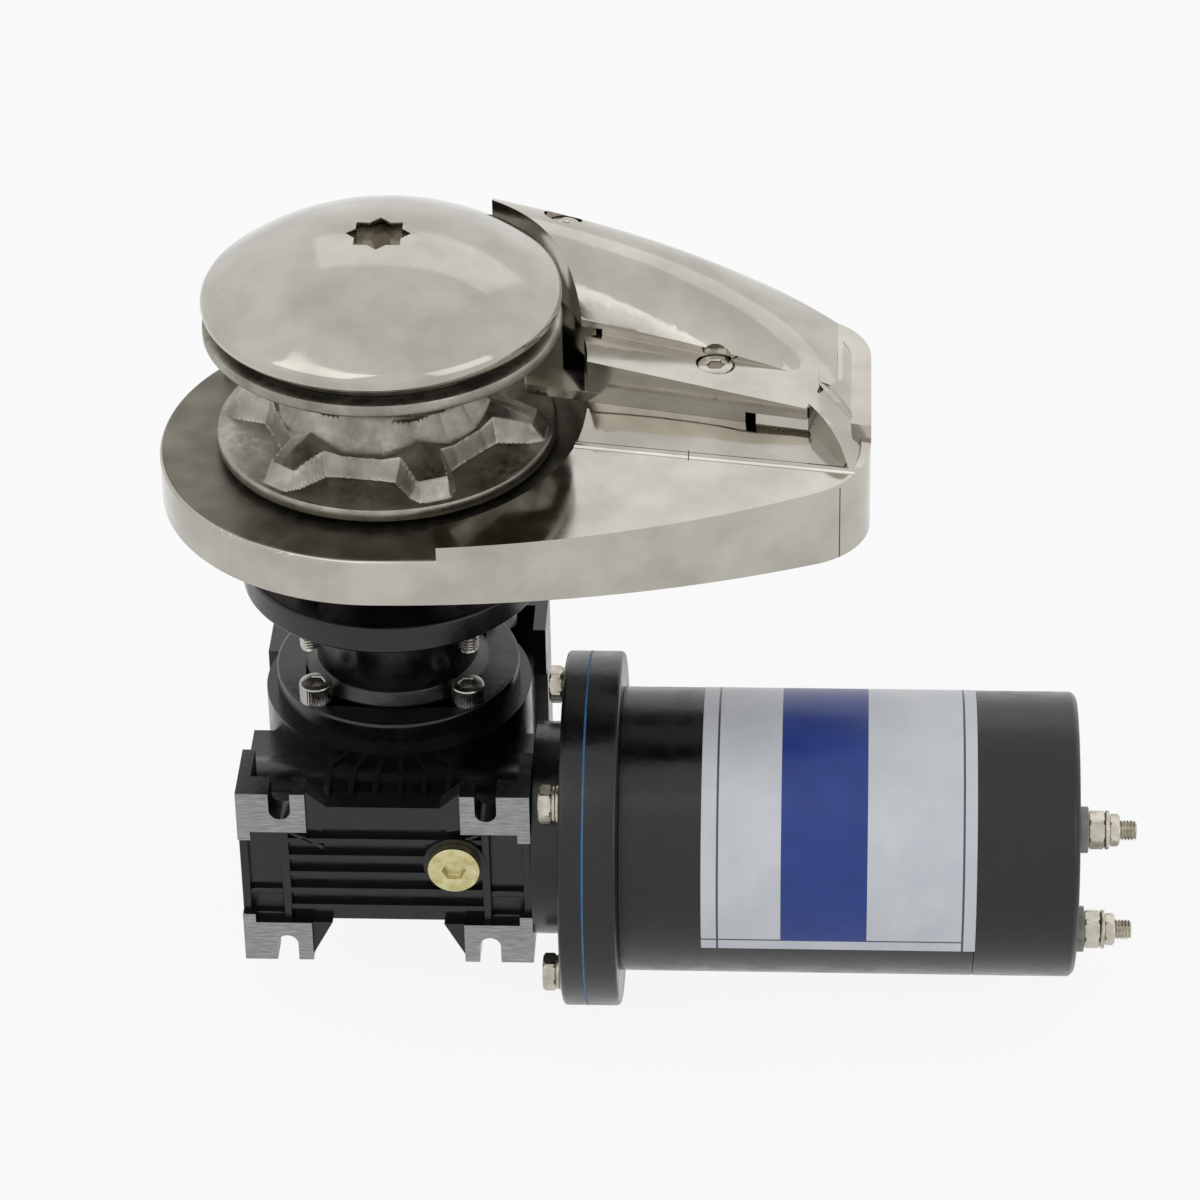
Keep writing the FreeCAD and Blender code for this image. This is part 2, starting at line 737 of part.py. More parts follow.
# ---------------------------------------------------------------- stripper and guard post
def stripper():
    low = float(s.shelf_height - s.stripper_thickness)
    bar = stripper_form(float(s.stripper_reach) - 2.0, float(s.stripper_end), 0.0, low,
                        float(s.shelf_height) - 0.3)
    tip = Part.makeCylinder(float(s.stripper_reach), 200, FreeCAD.Vector(0, 0, 0))
    return bar.cut(tip)


keep(cut("chain_stripper", solid("stripper_bar", stripper()), [
    cylinder("stripper_hole", s.hood_screw_radius + s.hole_gap, 3 * s.stripper_thickness,
             (s.front_screw_x, s.front_screw_y, s.shelf_height - 2 * s.stripper_thickness))]),
             "chain_stripper")
keep(place(turned("guard_post", [
    (0, 0), (s.post_radius - 1.5, 0), (s.post_radius, 1.5), (s.post_radius, s.post_height * 0.6),
    (s.post_radius * 0.85, s.post_height * 0.8), (s.post_radius * 0.5, s.post_height * 0.95),
    (0, s.post_height)]), (post_x, post_y, s.plate_height)), "guard_post")

# ---------------------------------------------------------------- shaft line
keep(turned("shaft_bush", [
    (s.shaft_radius + s.running_gap, s.bush_foot), (s.shaft_radius + s.bush_wall, s.bush_foot),
    (s.shaft_radius + s.bush_wall, s.bush_foot + s.bush_length),
    (s.shaft_radius + s.running_gap, s.bush_foot + s.bush_length)]), "shaft_bush")
keep(turned("thrust_washer", [
    (s.shaft_radius + s.seat_gap, s.plate_height), (s.washer_radius, s.plate_height),
    (s.washer_radius, washer_top), (s.shaft_radius + s.seat_gap, washer_top)]), "thrust_washer")

shaft_foot = worm_level - s.case_half + s.running_gap * 4
shaft_body = turned("shaft_turning", [
    (0, shaft_foot), (s.shaft_radius - 1, shaft_foot), (s.shaft_radius, shaft_foot + 1),
    (s.shaft_radius, s.shaft_shoulder), (s.shaft_thread_radius, s.shaft_shoulder),
    (s.shaft_thread_radius, s.shaft_top - 1), (s.shaft_thread_radius - 1, s.shaft_top), (0, s.shaft_top)])
key_floor = cone_floor + 1
key_length = gypsy_top - key_floor
half_key = s.key_width / 2


def key_box(name, side_gap, rise, low, high_length):
    return box(name, (s.shaft_radius + rise, s.key_width + 2 * side_gap, high_length),
               (0, -half_key - side_gap, low))


def key_piece(name, low, long):
    """A square key: its outer part above the shaft, its inner part sunk in the shaft's keyway."""
    bar = box(name + "_bar", (2 * s.key_rise, s.key_width, long),
              (s.shaft_radius - s.key_rise, -half_key, low))
    return keep(bar, name)


keep(cut("main_shaft", shaft_body, [
    box("clutch_keyway", (2 * s.key_rise, s.key_width, key_length), (s.shaft_radius - s.key_rise, -half_key,
                                                                      key_floor)),
    box("wheel_keyway", (2 * s.key_rise, s.key_width, s.wheel_width),
        (s.shaft_radius - s.key_rise, -half_key,
                                                                       worm_level - s.wheel_width / 2)),
]), "main_shaft")
key_piece("clutch_key", key_floor, key_length)
key_piece("wheel_key", worm_level - s.wheel_width / 2, s.wheel_width)

keep(cut("lower_cone", turned("lower_cone_turning", [
    (s.shaft_radius + s.running_gap, cone_floor), (s.cone_large_radius, cone_floor),
    (s.cone_small_radius, cone_floor + s.cone_length),
    (s.shaft_radius + s.running_gap, cone_floor + s.cone_length)]),
    [key_box("lower_cone_keyway", s.running_gap, s.key_rise + s.running_gap, cone_floor - 1,
             2 * s.cone_length)]), "lower_cone")
flange_low = cone_top - s.cone_flange_height
keep(cut("upper_cone", turned("upper_cone_turning", [
    (s.shaft_radius + s.running_gap, flange_low - s.cone_length),
    (s.cone_small_radius, flange_low - s.cone_length),
    (s.cone_large_radius, flange_low), (s.cone_flange_radius, flange_low), (s.cone_flange_radius, cone_top),
    (s.shaft_radius + s.running_gap, cone_top)]),
    [key_box("upper_cone_keyway", s.running_gap, s.key_rise + s.running_gap, flange_low - s.cone_length - 1,
             2 * s.cone_length)]), "upper_cone")


# ---------------------------------------------------------------- chain wheel
def gypsy_body():
    gap = s.seat_gap
    lower_seat = cone_floor + s.cone_length + gap
    upper_seat_low = flange_low - s.cone_length - gap
    middle = gypsy_floor + s.gypsy_height / 2
    return turned("gypsy_turning", [
        (s.cone_large_radius + gap, gypsy_floor), (s.gypsy_lower_radius, gypsy_floor),
        (s.gypsy_lower_radius, gypsy_floor + s.gypsy_rim),
        (s.gypsy_cone_radius, gypsy_floor + s.gypsy_rim + 0.8),
        (s.gypsy_neck_radius, gypsy_floor + s.rib_height), (s.gypsy_neck_radius - 1.5, middle),
        (s.gypsy_neck_radius, gypsy_top - s.rib_height),
        (s.gypsy_cone_radius, gypsy_top - s.gypsy_rim - 0.8),
        (s.gypsy_upper_radius, gypsy_top - s.gypsy_rim), (s.gypsy_upper_radius, gypsy_top),
        (s.cone_large_radius + gap, gypsy_top), (s.cone_small_radius + gap, upper_seat_low),
        (s.shaft_radius + 5, upper_seat_low), (s.shaft_radius + 5, lower_seat),
        (s.cone_small_radius + gap, lower_seat)])


def gypsy_rib(body, name, low, high, shoulder):
    """One radial rib of the chain pockets, then its copies round the wheel."""
    inside = s.gypsy_neck_radius - 4
    sketch = outline(body, name + "_outline", "XZ_Plane", [
        (inside, low), (s.rib_radius, low), (s.rib_radius, shoulder),
        (s.gypsy_neck_radius + 2, high), (inside, high)])
    pad = body.newObject("PartDesign::Pad", name + "_pad")
    pad.Profile = sketch
    pad.Midplane = True
    pad.setExpression("Length", s.rib_width.text)
    return pad


gypsy = gypsy_body()
ribs = [
    gypsy_rib(gypsy, "lower_rib", gypsy_floor + s.gypsy_rim / 2,
              gypsy_floor + s.rib_height + s.rib_shoulder / 2,
              gypsy_floor + s.gypsy_rim + s.rib_shoulder),
    gypsy_rib(gypsy, "upper_rib", gypsy_top - s.gypsy_rim / 2,
              gypsy_top - s.rib_height - s.rib_shoulder / 2,
              gypsy_top - s.gypsy_rim - s.rib_shoulder),
]
pattern = gypsy.newObject("PartDesign::PolarPattern", "pocket_pattern")
pattern.Originals = ribs
pattern.Axis = (origin_plane(gypsy, "Z_Axis"), [""])
pattern.Angle = 360
pattern.setExpression("Occurrences", "Sizes.pockets")
gypsy.Tip = pattern
gypsy.Placement = FreeCAD.Placement(FreeCAD.Vector(), FreeCAD.Rotation(FreeCAD.Vector(0, 0, 1),
                                                                      float(s.pocket_turn)))
keep(gypsy, "gypsy")

# ---------------------------------------------------------------- clutch cap
cap_top = cap_floor + s.cap_dome
cap_rim = s.cap_radius - s.cap_edge
dome_rise = s.cap_dome - s.cap_shoulder
dome_radius = (cap_rim * cap_rim + dome_rise * dome_rise) / (2 * dome_rise)
cap_body = turned("clutch_cap_turning", [
    (s.shaft_thread_radius + s.running_gap, cap_floor), (s.cap_boss_radius, cap_floor),
    (s.cap_boss_radius, cap_floor + s.cap_recess), (s.cap_radius - 2 * s.cap_wall,
                                                    cap_floor + s.cap_recess),
    (s.cap_radius - 2 * s.cap_wall + 3, cap_floor), (cap_rim, cap_floor),
    (s.cap_radius, cap_floor + s.cap_edge), (cap_rim, cap_floor + s.cap_shoulder),
    (0, cap_top), (0, cap_top - s.star_depth - 2.5),
    (s.shaft_thread_radius + s.running_gap, cap_top - s.star_depth - 2.5)],
    bulges={7: dome_radius})
star_low = cap_top - s.star_depth
star_cutters = []
for index, turn in enumerate((0.0, 45.0)):
    square = doc.addObject("Part::Prism", "star_square_%d" % index)
    square.Polygon = 4
    bind(square, "Circumradius", s.star_across / 2)
    bind(square, "Height", 2 * s.star_depth)
    place(square, (0, 0, star_low), FreeCAD.Rotation(FreeCAD.Vector(0, 0, 1), turn))
    star_cutters.append(square)
keep(cut("clutch_cap", cap_body, star_cutters), "clutch_cap")

# ---------------------------------------------------------------- deck bolts, tube and spool
tube_foot = spool_top - s.tube_seat
keep(turned("deck_tube", [(s.tube_bore, tube_foot), (s.tube_radius, tube_foot),
                          (s.tube_radius, s.tube_seat),
                          (s.tube_bore, s.tube_seat)]), "deck_tube")
for index, angle in enumerate(around(4), start=1):
    x, y = on_circle(s.bolt_circle, angle)
    name = "deck_bolt_%d" % index
    head_top = s.plate_height - 0.5
    head_rise = s.bolt_head_radius - s.bolt_radius
    bolt_foot = spool_top - s.spool_flange_height - s.bolt_end
    keep(cut(name, fuse(name + "_body", [
        cylinder(name + "_shank", s.bolt_neck_radius, head_top - bolt_foot, (x, y, bolt_foot)),
        cylinder(name + "_fit", s.bolt_radius, s.deck_thickness - s.bolt_fit_start - 0.5,
                 (x, y, spool_top + s.bolt_fit_start)),
        cone(name + "_head", s.bolt_radius, s.bolt_head_radius, head_rise,
             (x, y, head_top - head_rise))]), [
            hexagon(name + "_socket", s.hex_socket - 1, head_rise, (x, y, head_top - head_rise * 0.7))]),
            name)

spool_tools = [cylinder("spool_tube_seat", s.tube_radius + s.hole_gap, s.tube_seat + 1, (0, 0, tube_foot))]
foot_top = spool_foot + s.spool_foot_height
for index, angle in enumerate(around(4)):
    x, y = on_circle(s.bolt_circle, angle)
    spool_tools.append(cylinder("spool_tapped_%d" % index, s.bolt_neck_radius + s.running_gap,
                                s.deck_thickness + s.spool_flange_height * 2,
                                (x, y, spool_top - s.spool_flange_height * 1.5)))
    x, y = on_circle(s.screw_circle, angle)
    spool_tools.append(cylinder("spool_hole_%d" % index, clearance_hole, s.spool_foot_height * 2,
                                (x, y, spool_foot - s.spool_foot_height / 2)))
neck_fillet = 4
keep(cut("mounting_spool", turned("mounting_spool_turning", [
    (s.tube_bore, spool_foot), (s.spool_foot_radius, spool_foot), (s.spool_foot_radius, foot_top - 1),
    (s.spool_foot_radius - 1, foot_top), (s.spool_neck_radius + neck_fillet, foot_top),
    (s.spool_neck_radius, foot_top + neck_fillet),
    (s.spool_neck_radius, spool_top - s.spool_flange_height - neck_fillet),
    (s.spool_neck_radius + neck_fillet, spool_top - s.spool_flange_height),
    (s.spool_flange_radius - 1, spool_top - s.spool_flange_height),
    (s.spool_flange_radius, spool_top - s.spool_flange_height + 1), (s.spool_flange_radius, spool_top - 1),
    (s.spool_flange_radius - 1, spool_top), (s.tube_bore, spool_top)]), spool_tools), "mounting_spool")
for index, angle in enumerate(around(4), start=1):
    x, y = on_circle(s.screw_circle, angle)
    socket_screw("spool_screw_%d" % index, (x, y, foot_top), s.bolt_radius, s.screw_head_radius,
                 s.screw_head_height, s.spool_foot_height + s.screw_depth, s.hex_socket)


# ---------------------------------------------------------------- worm gearbox
def gearbox_pads():
    """The machined feet of the front and back faces, each with an open slot; seven in all."""
    pads = []
    half = s.slot_spacing / 2
    for side in (-1, 1):
        for level in (-1, 1):
            for face, front in (("front", True), ("back", False)):
                if (side, level, front) == (-1, 1, False):
                    continue
                name = "pad_%s_%d_%d" % (face, side + 1, level + 1)
                x = s.body_half_length - s.pad_length if side > 0 else -s.body_half_length
                y = -(s.body_front + s.pad_reach) if front else s.body_back - s.pad_depth
                z = worm_level + s.body_half_height - 2 if level > 0 else worm_level - s.pad_half_height
                height = s.pad_half_height - s.body_half_height + 2
                block = box(name, (s.pad_length, s.pad_depth, height), (x, y, z))
                slot = cylinder(name + "_slot", s.slot_radius, 3 * s.pad_depth,
                                (side * half, y - s.pad_depth, worm_level + level * s.slot_level), "Y")
                reach = s.pad_half_height
                low = worm_level + s.slot_level if level > 0 else worm_level - s.slot_level - reach
                mouth = box(name + "_mouth", (2 * s.slot_radius, 3 * s.pad_depth, reach),
                            (side * half - s.slot_radius, y - s.pad_depth, low))
                pads.append(cut(name + "_foot", block, [slot, mouth]))
    return pads


def gearbox_ribs():
    """Stiffening ribs: upright ones on top of the worm tunnel and level ones across the front."""
    ribs = []
    count = int(float(s.case_ribs))
    for index in range(count):
        x = (index - (count - 1) / 2) * s.rib_pitch - s.rib_thickness / 2
        ribs.append(box("top_rib_%d" % index, (s.rib_thickness, s.body_front - 38, s.case_half - 8),
                        (x, -s.body_front + 4, worm_level)))
    for index in range(-2, 3):
        ribs.append(box("front_rib_%d" % (index + 2), (2 * (s.body_half_length - s.pad_length) + 16, 4,
                                                       s.rib_thickness),
                        (-(s.body_half_length - s.pad_length) - 8, -s.body_front - 3,
                         worm_level + index * s.front_rib_pitch - s.rib_thickness / 2)))
    return ribs


def corner_frames():
    """The front wall's frame: it rises to the upper feet and slopes down to the lower ones."""
    inner = float(s.body_half_length - s.pad_length)
    middle = float(s.frame_half)
    low, high = float(s.body_half_height) - 1, float(s.pad_half_height)
    front = -float(s.body_front + s.pad_reach) + 2
    outlines = [
        [(-inner, low), (inner, low), (inner, high), (middle, float(s.frame_level)),
         (-middle, float(s.frame_level)), (-inner, high)],
        [(-inner - 1, -high), (-middle, -low), (-inner - 1, -low)],
        [(inner + 1, -high), (middle, -low), (inner + 1, -low)]]
    return [solid("front_frame_%d" % index, prism([(x, front, float(worm_level) + z) for x, z in corners],
                                                  (0, float(s.frame_thickness), 0)))
            for index, corners in enumerate(outlines)]


def corner_webs():
    """Upright walls that carry the feet, at both ends of the worm tunnel."""
    webs = []
    for side in (-1, 1):
        x = s.body_half_length - s.web_thickness if side > 0 else -s.body_half_length
        for level in (-1, 1):
            z = worm_level + s.body_half_height - 6 if level > 0 else worm_level - s.pad_half_height
            webs.append(box("web_front_%d_%d" % (side + 1, level + 1),
                            (s.web_thickness, s.web_depth, s.pad_half_height - s.body_half_height + 6),
                            (x, -(s.body_front + s.pad_reach), z)))
            if (side, level) == (-1, 1):
                continue
            webs.append(box("web_back_%d_%d" % (side + 1, level + 1),
                            (s.web_thickness, s.web_depth, s.pad_half_height - s.body_half_height + 6),
                            (x, s.body_back - s.web_depth, z)))
    return webs


case_low = worm_level - s.case_half
cover_low = case_low - s.cover_thickness
front_plate = box("gearbox_front", (2 * s.body_half_length, s.body_front - 20, 2 * s.body_half_height),
                  (-s.body_half_length, -s.body_front, worm_level - s.body_half_height))
back_plate = box("gearbox_back", (2 * s.body_half_length, s.body_back, 2 * s.body_half_height),
                 (-s.body_half_length, 0, worm_level - s.body_half_height))
side_relief = [box("gearbox_relief_%d" % (side + 1), (s.relief_depth * 2, 52, 3 * s.body_half_height),
                   (side * s.body_half_length - s.relief_depth, -16, worm_level - 1.5 * s.body_half_height))
               for side in (-1, 1)]
housing_solid = fuse("gearbox_outer", [
    cut("gearbox_block", fuse("gearbox_blocks", [front_plate, back_plate]), side_relief),
    cylinder("gearbox_case", s.case_radius, 2 * s.case_half, (0, 0, case_low)),
    cylinder("gearbox_boss", s.boss_radius, s.worm_drop, (0, 0, worm_level)),
    cylinder("gearbox_tunnel", s.tunnel_radius, 2 * s.body_half_length,
             (-s.body_half_length, worm_line, worm_level), "X"),
    cylinder("plug_boss", s.plug_radius + 2, s.pad_reach,
             (s.plug_x, -s.body_front - s.pad_reach + 2, worm_level + s.plug_level), "Y"),
] + gearbox_pads() + gearbox_ribs() + corner_frames() + corner_webs())
bearing_low = worm_level - s.wheel_width / 2 - 3 - s.bearing_width
bearing_high = worm_level + s.wheel_width / 2 + 3
housing_tools = [
    cylinder("worm_room", s.tunnel_bore, 3 * s.body_half_length,
             (-1.5 * s.body_half_length, worm_line, worm_level),
             "X"),
    cylinder("wheel_room_bore", s.wheel_room, s.case_half + s.wheel_width / 2 + 3, (0, 0, case_low)),
    cylinder("upper_bearing_bore", s.bearing_radius, s.bearing_width, (0, 0, bearing_high)),
    cylinder("output_bore", s.shaft_radius + 4, 3 * s.case_half, (0, 0, worm_level)),
    cylinder("plug_bore", s.bolt_radius + 2 + s.running_gap, 20,
             (s.plug_x, -s.body_front - s.pad_reach, worm_level + s.plug_level), "Y"),
]
for index, angle in enumerate(around(4)):
    x, y = on_circle(s.screw_circle, angle)
    housing_tools.append(cylinder("boss_tapped_%d" % index, tapped_hole, s.screw_depth + 6,
                                  (x, y, spool_foot - s.screw_depth - 2)))
keep(cut("gearbox_housing", housing_solid, housing_tools), "gearbox_housing")

spigot_top = bearing_low + s.bearing_width / 2
keep(turned("case_cover", [
    (0, cover_low), (s.cover_radius, cover_low), (s.cover_radius, case_low),
    (s.wheel_room - s.running_gap, case_low),
    (s.wheel_room - s.running_gap, spigot_top), (s.bearing_radius + s.spigot_wall, spigot_top),
    (s.bearing_radius + s.spigot_wall, bearing_low + s.bearing_width),
    (s.bearing_radius, bearing_low + s.bearing_width),
    (s.bearing_radius, bearing_low), (s.shaft_radius + 4, bearing_low),
    (s.shaft_radius + 4, case_low), (0, case_low)]), "case_cover")


def bearing(name, low):
    """A ball bearing shown as its plain outer envelope."""
    return keep(turned(name, [
        (s.shaft_radius + s.running_gap, low), (s.bearing_radius, low),
        (s.bearing_radius, low + s.bearing_width), (s.shaft_radius + s.running_gap,
                                                    low + s.bearing_width)]), name)


bearing("upper_wheel_bearing", bearing_high)
bearing("lower_wheel_bearing", bearing_low)


# ---------------------------------------------------------------- worm and wheel
PRESSURE_ANGLE = math.radians(20.0)
FLANK_SLOPE = math.tan(PRESSURE_ANGLE)


def worm_lead():
    return math.pi * float(s.gear_module)


def tooth_root(pitch_radius):
    return pitch_radius - 1.2 * float(s.gear_module)


def worm_shape():
    """A root cylinder with a single-start trapezoid thread, its middle crest facing the wheel."""
    pitch_radius = float(s.worm_pitch_radius)
    root = tooth_root(pitch_radius)
    tip = pitch_radius + float(s.gear_module)
    long = float(s.worm_thread_length)

    def half_at(radius):
        return worm_lead() / 4 - float(s.tooth_play) / 2 - (radius - pitch_radius) * FLANK_SLOPE

    foot = root - 0.4
    corners = [FreeCAD.Vector(foot, 0, -half_at(foot)), FreeCAD.Vector(tip, 0, -half_at(tip)),
               FreeCAD.Vector(tip, 0, half_at(tip)), FreeCAD.Vector(foot, 0, half_at(foot))]
    helix = Part.makeHelix(worm_lead(), long, pitch_radius)
    thread = Part.Wire(helix.Edges).makePipeShell([Part.makePolygon(corners + corners[:1])], True, True)
    worm = Part.makeCylinder(root, long + 8, FreeCAD.Vector(0, 0, -4)).fuse(thread)
    worm.rotate(FreeCAD.Vector(0, 0, 0), FreeCAD.Vector(0, 0, 1), -180.0 * long / worm_lead())
    worm.translate(FreeCAD.Vector(0, 0, -long / 2))
    # a third of a turn about the diagonal lays Z along X and turns the crest from X to Y
    worm.rotate(FreeCAD.Vector(0, 0, 0), FreeCAD.Vector(1, 1, 1), 120)
    worm.translate(FreeCAD.Vector(0, float(worm_line), float(worm_level)))
    return worm


journal = s.journal_radius
worm_end = s.body_half_length - s.end_cap_thickness - s.worm_bearing_inset
worm_body = turned("worm_journals", [
    (-worm_end, 0), (-worm_end, journal - 0.5), (-worm_end + 0.5, journal),
    (-s.worm_thread_length / 2, journal),
    (s.worm_thread_length / 2, journal), (worm_end + 10, journal), (worm_end + 10, s.armature_shaft_radius),
    (s.worm_thread_length / 2 + 6, s.armature_shaft_radius), (s.worm_thread_length / 2 + 6, 0)],
    "X", motor_axis)
keep(fuse("worm_shaft", [worm_body, solid("worm_thread", worm_shape())]), "worm_shaft")


def involute(angle):
    return math.tan(angle) - angle


def wheel_rim():
    """The bronze rim: involute tooth gaps, lofted between two faces turned by the worm's lead."""
    module = float(s.gear_module)
    teeth = int(float(s.wheel_teeth))
    pitch_radius = module * teeth / 2
    tip = pitch_radius + module
    root = tooth_root(pitch_radius)
    base = pitch_radius * math.cos(PRESSURE_ANGLE)
    half_width = float(s.wheel_width) / 2 + 1
    lean = math.degrees(half_width * module / (2 * float(s.worm_pitch_radius)) / pitch_radius)
    gap_angle = (worm_lead() / 4 + float(s.tooth_play) / 2) / pitch_radius - involute(PRESSURE_ANGLE)
    radii = [root, base + 0.1, pitch_radius, tip - module / 2, tip + 1]
    flank = [(radius, gap_angle + involute(math.acos(min(base / radius, 1.0)))) for radius in radii]

    def gap_outline(level, turn):
        sides = [(radius, angle) for radius, angle in flank] + [(radius, -angle) for radius,
                                                                angle in flank[::-1]]
        corners = [FreeCAD.Vector(radius * math.sin(angle), -radius * math.cos(angle), level)
                   for radius, angle in sides]
        wire = Part.makePolygon(corners + corners[:1])
        wire.rotate(FreeCAD.Vector(0, 0, 0), FreeCAD.Vector(0, 0, 1), turn)
        return wire

    gap = Part.makeLoft([gap_outline(-half_width, -lean), gap_outline(half_width, lean)], True, True)
    gaps = []
    for index in range(teeth):
        copy = gap.copy()
        copy.rotate(FreeCAD.Vector(0, 0, 0), FreeCAD.Vector(0, 0, 1), 360.0 * index / teeth)
        gaps.append(copy)
    width = float(s.wheel_width)
    rim = Part.makeCylinder(tip, width, FreeCAD.Vector(0, 0, -width / 2))
    rim = rim.cut(Part.makeCylinder(float(s.rim_seat_radius), 2 * width, FreeCAD.Vector(0, 0, -width)))
    rim = rim.cut(gaps)
    rim.translate(FreeCAD.Vector(0, 0, float(worm_level)))
    return rim


keep(solid("worm_wheel", wheel_rim()), "worm_wheel")
hub_low = worm_level - s.wheel_width / 2 - 2
keep(cut("wheel_hub", turned("wheel_hub_turning", [
    (s.shaft_radius, hub_low), (s.rim_seat_radius - 6, hub_low), (s.rim_seat_radius - 6, hub_low + 2),
    (s.rim_seat_radius, hub_low + 2), (s.rim_seat_radius, hub_low + 2 + s.wheel_width),
    (s.rim_seat_radius - 6, hub_low + 2 + s.wheel_width),
    (s.rim_seat_radius - 6, hub_low + 4 + s.wheel_width),
    (s.shaft_radius, hub_low + 4 + s.wheel_width)]),
    [box("hub_keyway", (2 * s.key_rise, s.key_width, 2 * s.wheel_width),
         (s.shaft_radius - s.key_rise, -half_key, worm_level - s.wheel_width))]), "wheel_hub")


def worm_bearing(name, start):
    return keep(turned(name, [
        (start, journal + s.running_gap), (start, s.tunnel_bore), (start + s.bearing_width, s.tunnel_bore),
        (start + s.bearing_width, journal + s.running_gap)], "X", motor_axis), name)


bearing_station = s.body_half_length - s.end_cap_thickness - s.worm_bearing_inset - s.bearing_width
worm_bearing("worm_bearing_left", -bearing_station - s.bearing_width)
worm_bearing("worm_bearing_right", bearing_station)
keep(turned("worm_end_cap", [
    (-s.body_half_length, 0), (-s.body_half_length, s.tunnel_bore - 1.5),
    (-s.body_half_length + 1, s.tunnel_bore),
    (s.end_cap_thickness - s.body_half_length, s.tunnel_bore),
    (s.end_cap_thickness - s.body_half_length, 0)],
    "X", motor_axis), "worm_end_cap")

plug_face = -(s.body_front + s.pad_reach - 2)
keep(cut("oil_plug", fuse("oil_plug_body", [
    cylinder("oil_plug_head", s.plug_radius, s.plug_height, (s.plug_x, plug_face - s.plug_height,
                                                            worm_level + s.plug_level), "Y"),
    cylinder("oil_plug_shank", s.bolt_radius + 2, 12, (s.plug_x, plug_face - 1,
                                                       worm_level + s.plug_level), "Y")]),
    [hexagon("oil_plug_socket", s.hex_socket + 2, s.plug_height, (s.plug_x, plug_face - s.plug_height - 1,
                                                                   worm_level + s.plug_level), "Y")]),
                                                                   "oil_plug")

# ---------------------------------------------------------------- motor adapter
adapter_tools = []
front_cap_tools = []
for index, angle in enumerate(around(4)):
    y, z = on_circle(s.flange_bolt_circle, angle)
    adapter_tools.append(cylinder("adapter_hole_%d" % index, clearance_hole, 3 * s.adapter_thickness,
                                  (adapter_face - s.adapter_thickness, worm_line + y, worm_level + z), "X"))
    front_cap_tools.append(cylinder("front_cap_tapped_%d" % index, tapped_hole, s.front_cap_thickness,
                                    (joint_face - 1, worm_line + y, worm_level + z), "X"))
keep(cut("motor_adapter", turned("motor_adapter_turning", [
    (s.body_half_length, s.adapter_bore - 8), (s.body_half_length, s.adapter_neck_radius),
    (adapter_face, s.adapter_neck_radius), (adapter_face, s.flange_radius - 1),
    (adapter_face + 1, s.flange_radius),
    (joint_face, s.flange_radius), (joint_face, s.adapter_bore), (adapter_face, s.adapter_bore),
    (adapter_face, s.adapter_bore - 8)], "X", motor_axis), adapter_tools), "motor_adapter")
for index, angle in enumerate(around(4), start=1):
    y, z = on_circle(s.flange_bolt_circle, angle)
    line = (worm_line + y, worm_level + z)
    head_seat = adapter_face - s.lock_washer_height
    name = "flange_bolt_%d" % index
    keep(fuse(name, [
        hexagon(name + "_head", s.hex_head, s.hex_head_height + 0.5,
                (head_seat - s.hex_head_height,) + line, "X"),
        cylinder(name + "_collar", s.hex_head / 2 + 0.8, s.lock_washer_height, (head_seat,) + line, "X"),
        cylinder(name + "_shank", s.bolt_radius, s.flange_bolt_length, (adapter_face - 1,) + line, "X")]),
        name)

# ---------------------------------------------------------------- motor
keep(cut("motor_front_cap", turned("motor_front_cap_turning", [
    (joint_face, s.motor_bearing_radius), (joint_face, s.flange_radius), (tube_front - 1, s.flange_radius),
    (tube_front, s.flange_radius - 1), (tube_front, rim_inner), (tube_front + s.spigot_length, rim_inner),
    (tube_front + s.spigot_length, rim_inner - 4), (tube_front, rim_inner - 4),
    (tube_front, s.motor_bearing_radius)], "X", motor_axis), front_cap_tools), "motor_front_cap")
keep(turned("motor_tube", [
    (tube_front, rim_inner), (tube_front, s.motor_radius), (tube_rear, s.motor_radius),
    (tube_rear, rim_inner)], "X", motor_axis), "motor_tube")
rear_floor = motor_end - s.motor_wall * 2
rear_bearing_face = rear_floor - s.bearing_width
stations = [(worm_line - s.terminal_side, worm_level + side * s.terminal_spread) for side in (1, -1)]
keep(cut("motor_rear_cap", turned("motor_rear_cap_turning", [
    (tube_rear, rim_inner), (tube_rear, s.motor_radius), (motor_end - s.rear_chamfer, s.motor_radius),
    (motor_end, s.motor_radius - s.rear_chamfer), (motor_end, 0), (rear_floor, 0),
    (rear_floor, s.motor_bearing_radius), (rear_bearing_face, s.motor_bearing_radius),
    (rear_bearing_face, s.motor_bearing_radius + 3), (rear_floor, s.motor_bearing_radius + 3),
    (rear_floor, rim_inner)], "X", motor_axis),
    [cylinder("terminal_hole_%d" % index, s.terminal_radius + s.hole_gap, 4 * s.motor_wall,
              (motor_end - 3 * s.motor_wall, y, z), "X") for index, (y, z) in enumerate(stations)]),
    "motor_rear_cap")


def motor_bearing(name, start):
    return keep(turned(name, [
        (start, s.armature_shaft_radius + s.running_gap), (start, s.motor_bearing_radius),
        (start + s.bearing_width, s.motor_bearing_radius),
        (start + s.bearing_width, s.armature_shaft_radius + s.running_gap)], "X", motor_axis), name)


motor_bearing("motor_bearing_front", joint_face + 1)
motor_bearing("motor_bearing_rear", rear_bearing_face)

core_start = tube_front + s.armature_gap
core_end = core_start + s.armature_length
armature_radius = rim_inner - s.magnet_thickness - s.magnet_gap
magnet_face = armature_radius + s.magnet_gap
for name, level in (("upper_magnet", worm_level + s.motor_radius / 4),
                    ("lower_magnet", worm_level - s.motor_radius * 1.25)):
    ring = turned(name + "_ring", [
        (core_start, magnet_face), (core_start, rim_inner), (core_end, rim_inner), (core_end, magnet_face)],
        "X", motor_axis)
    keep(common(name, [ring, box(name + "_zone", (s.armature_length + 4, 2 * s.motor_radius,
                                                  s.motor_radius),
                                 (core_start - 2, worm_line - s.motor_radius, level))]), name)

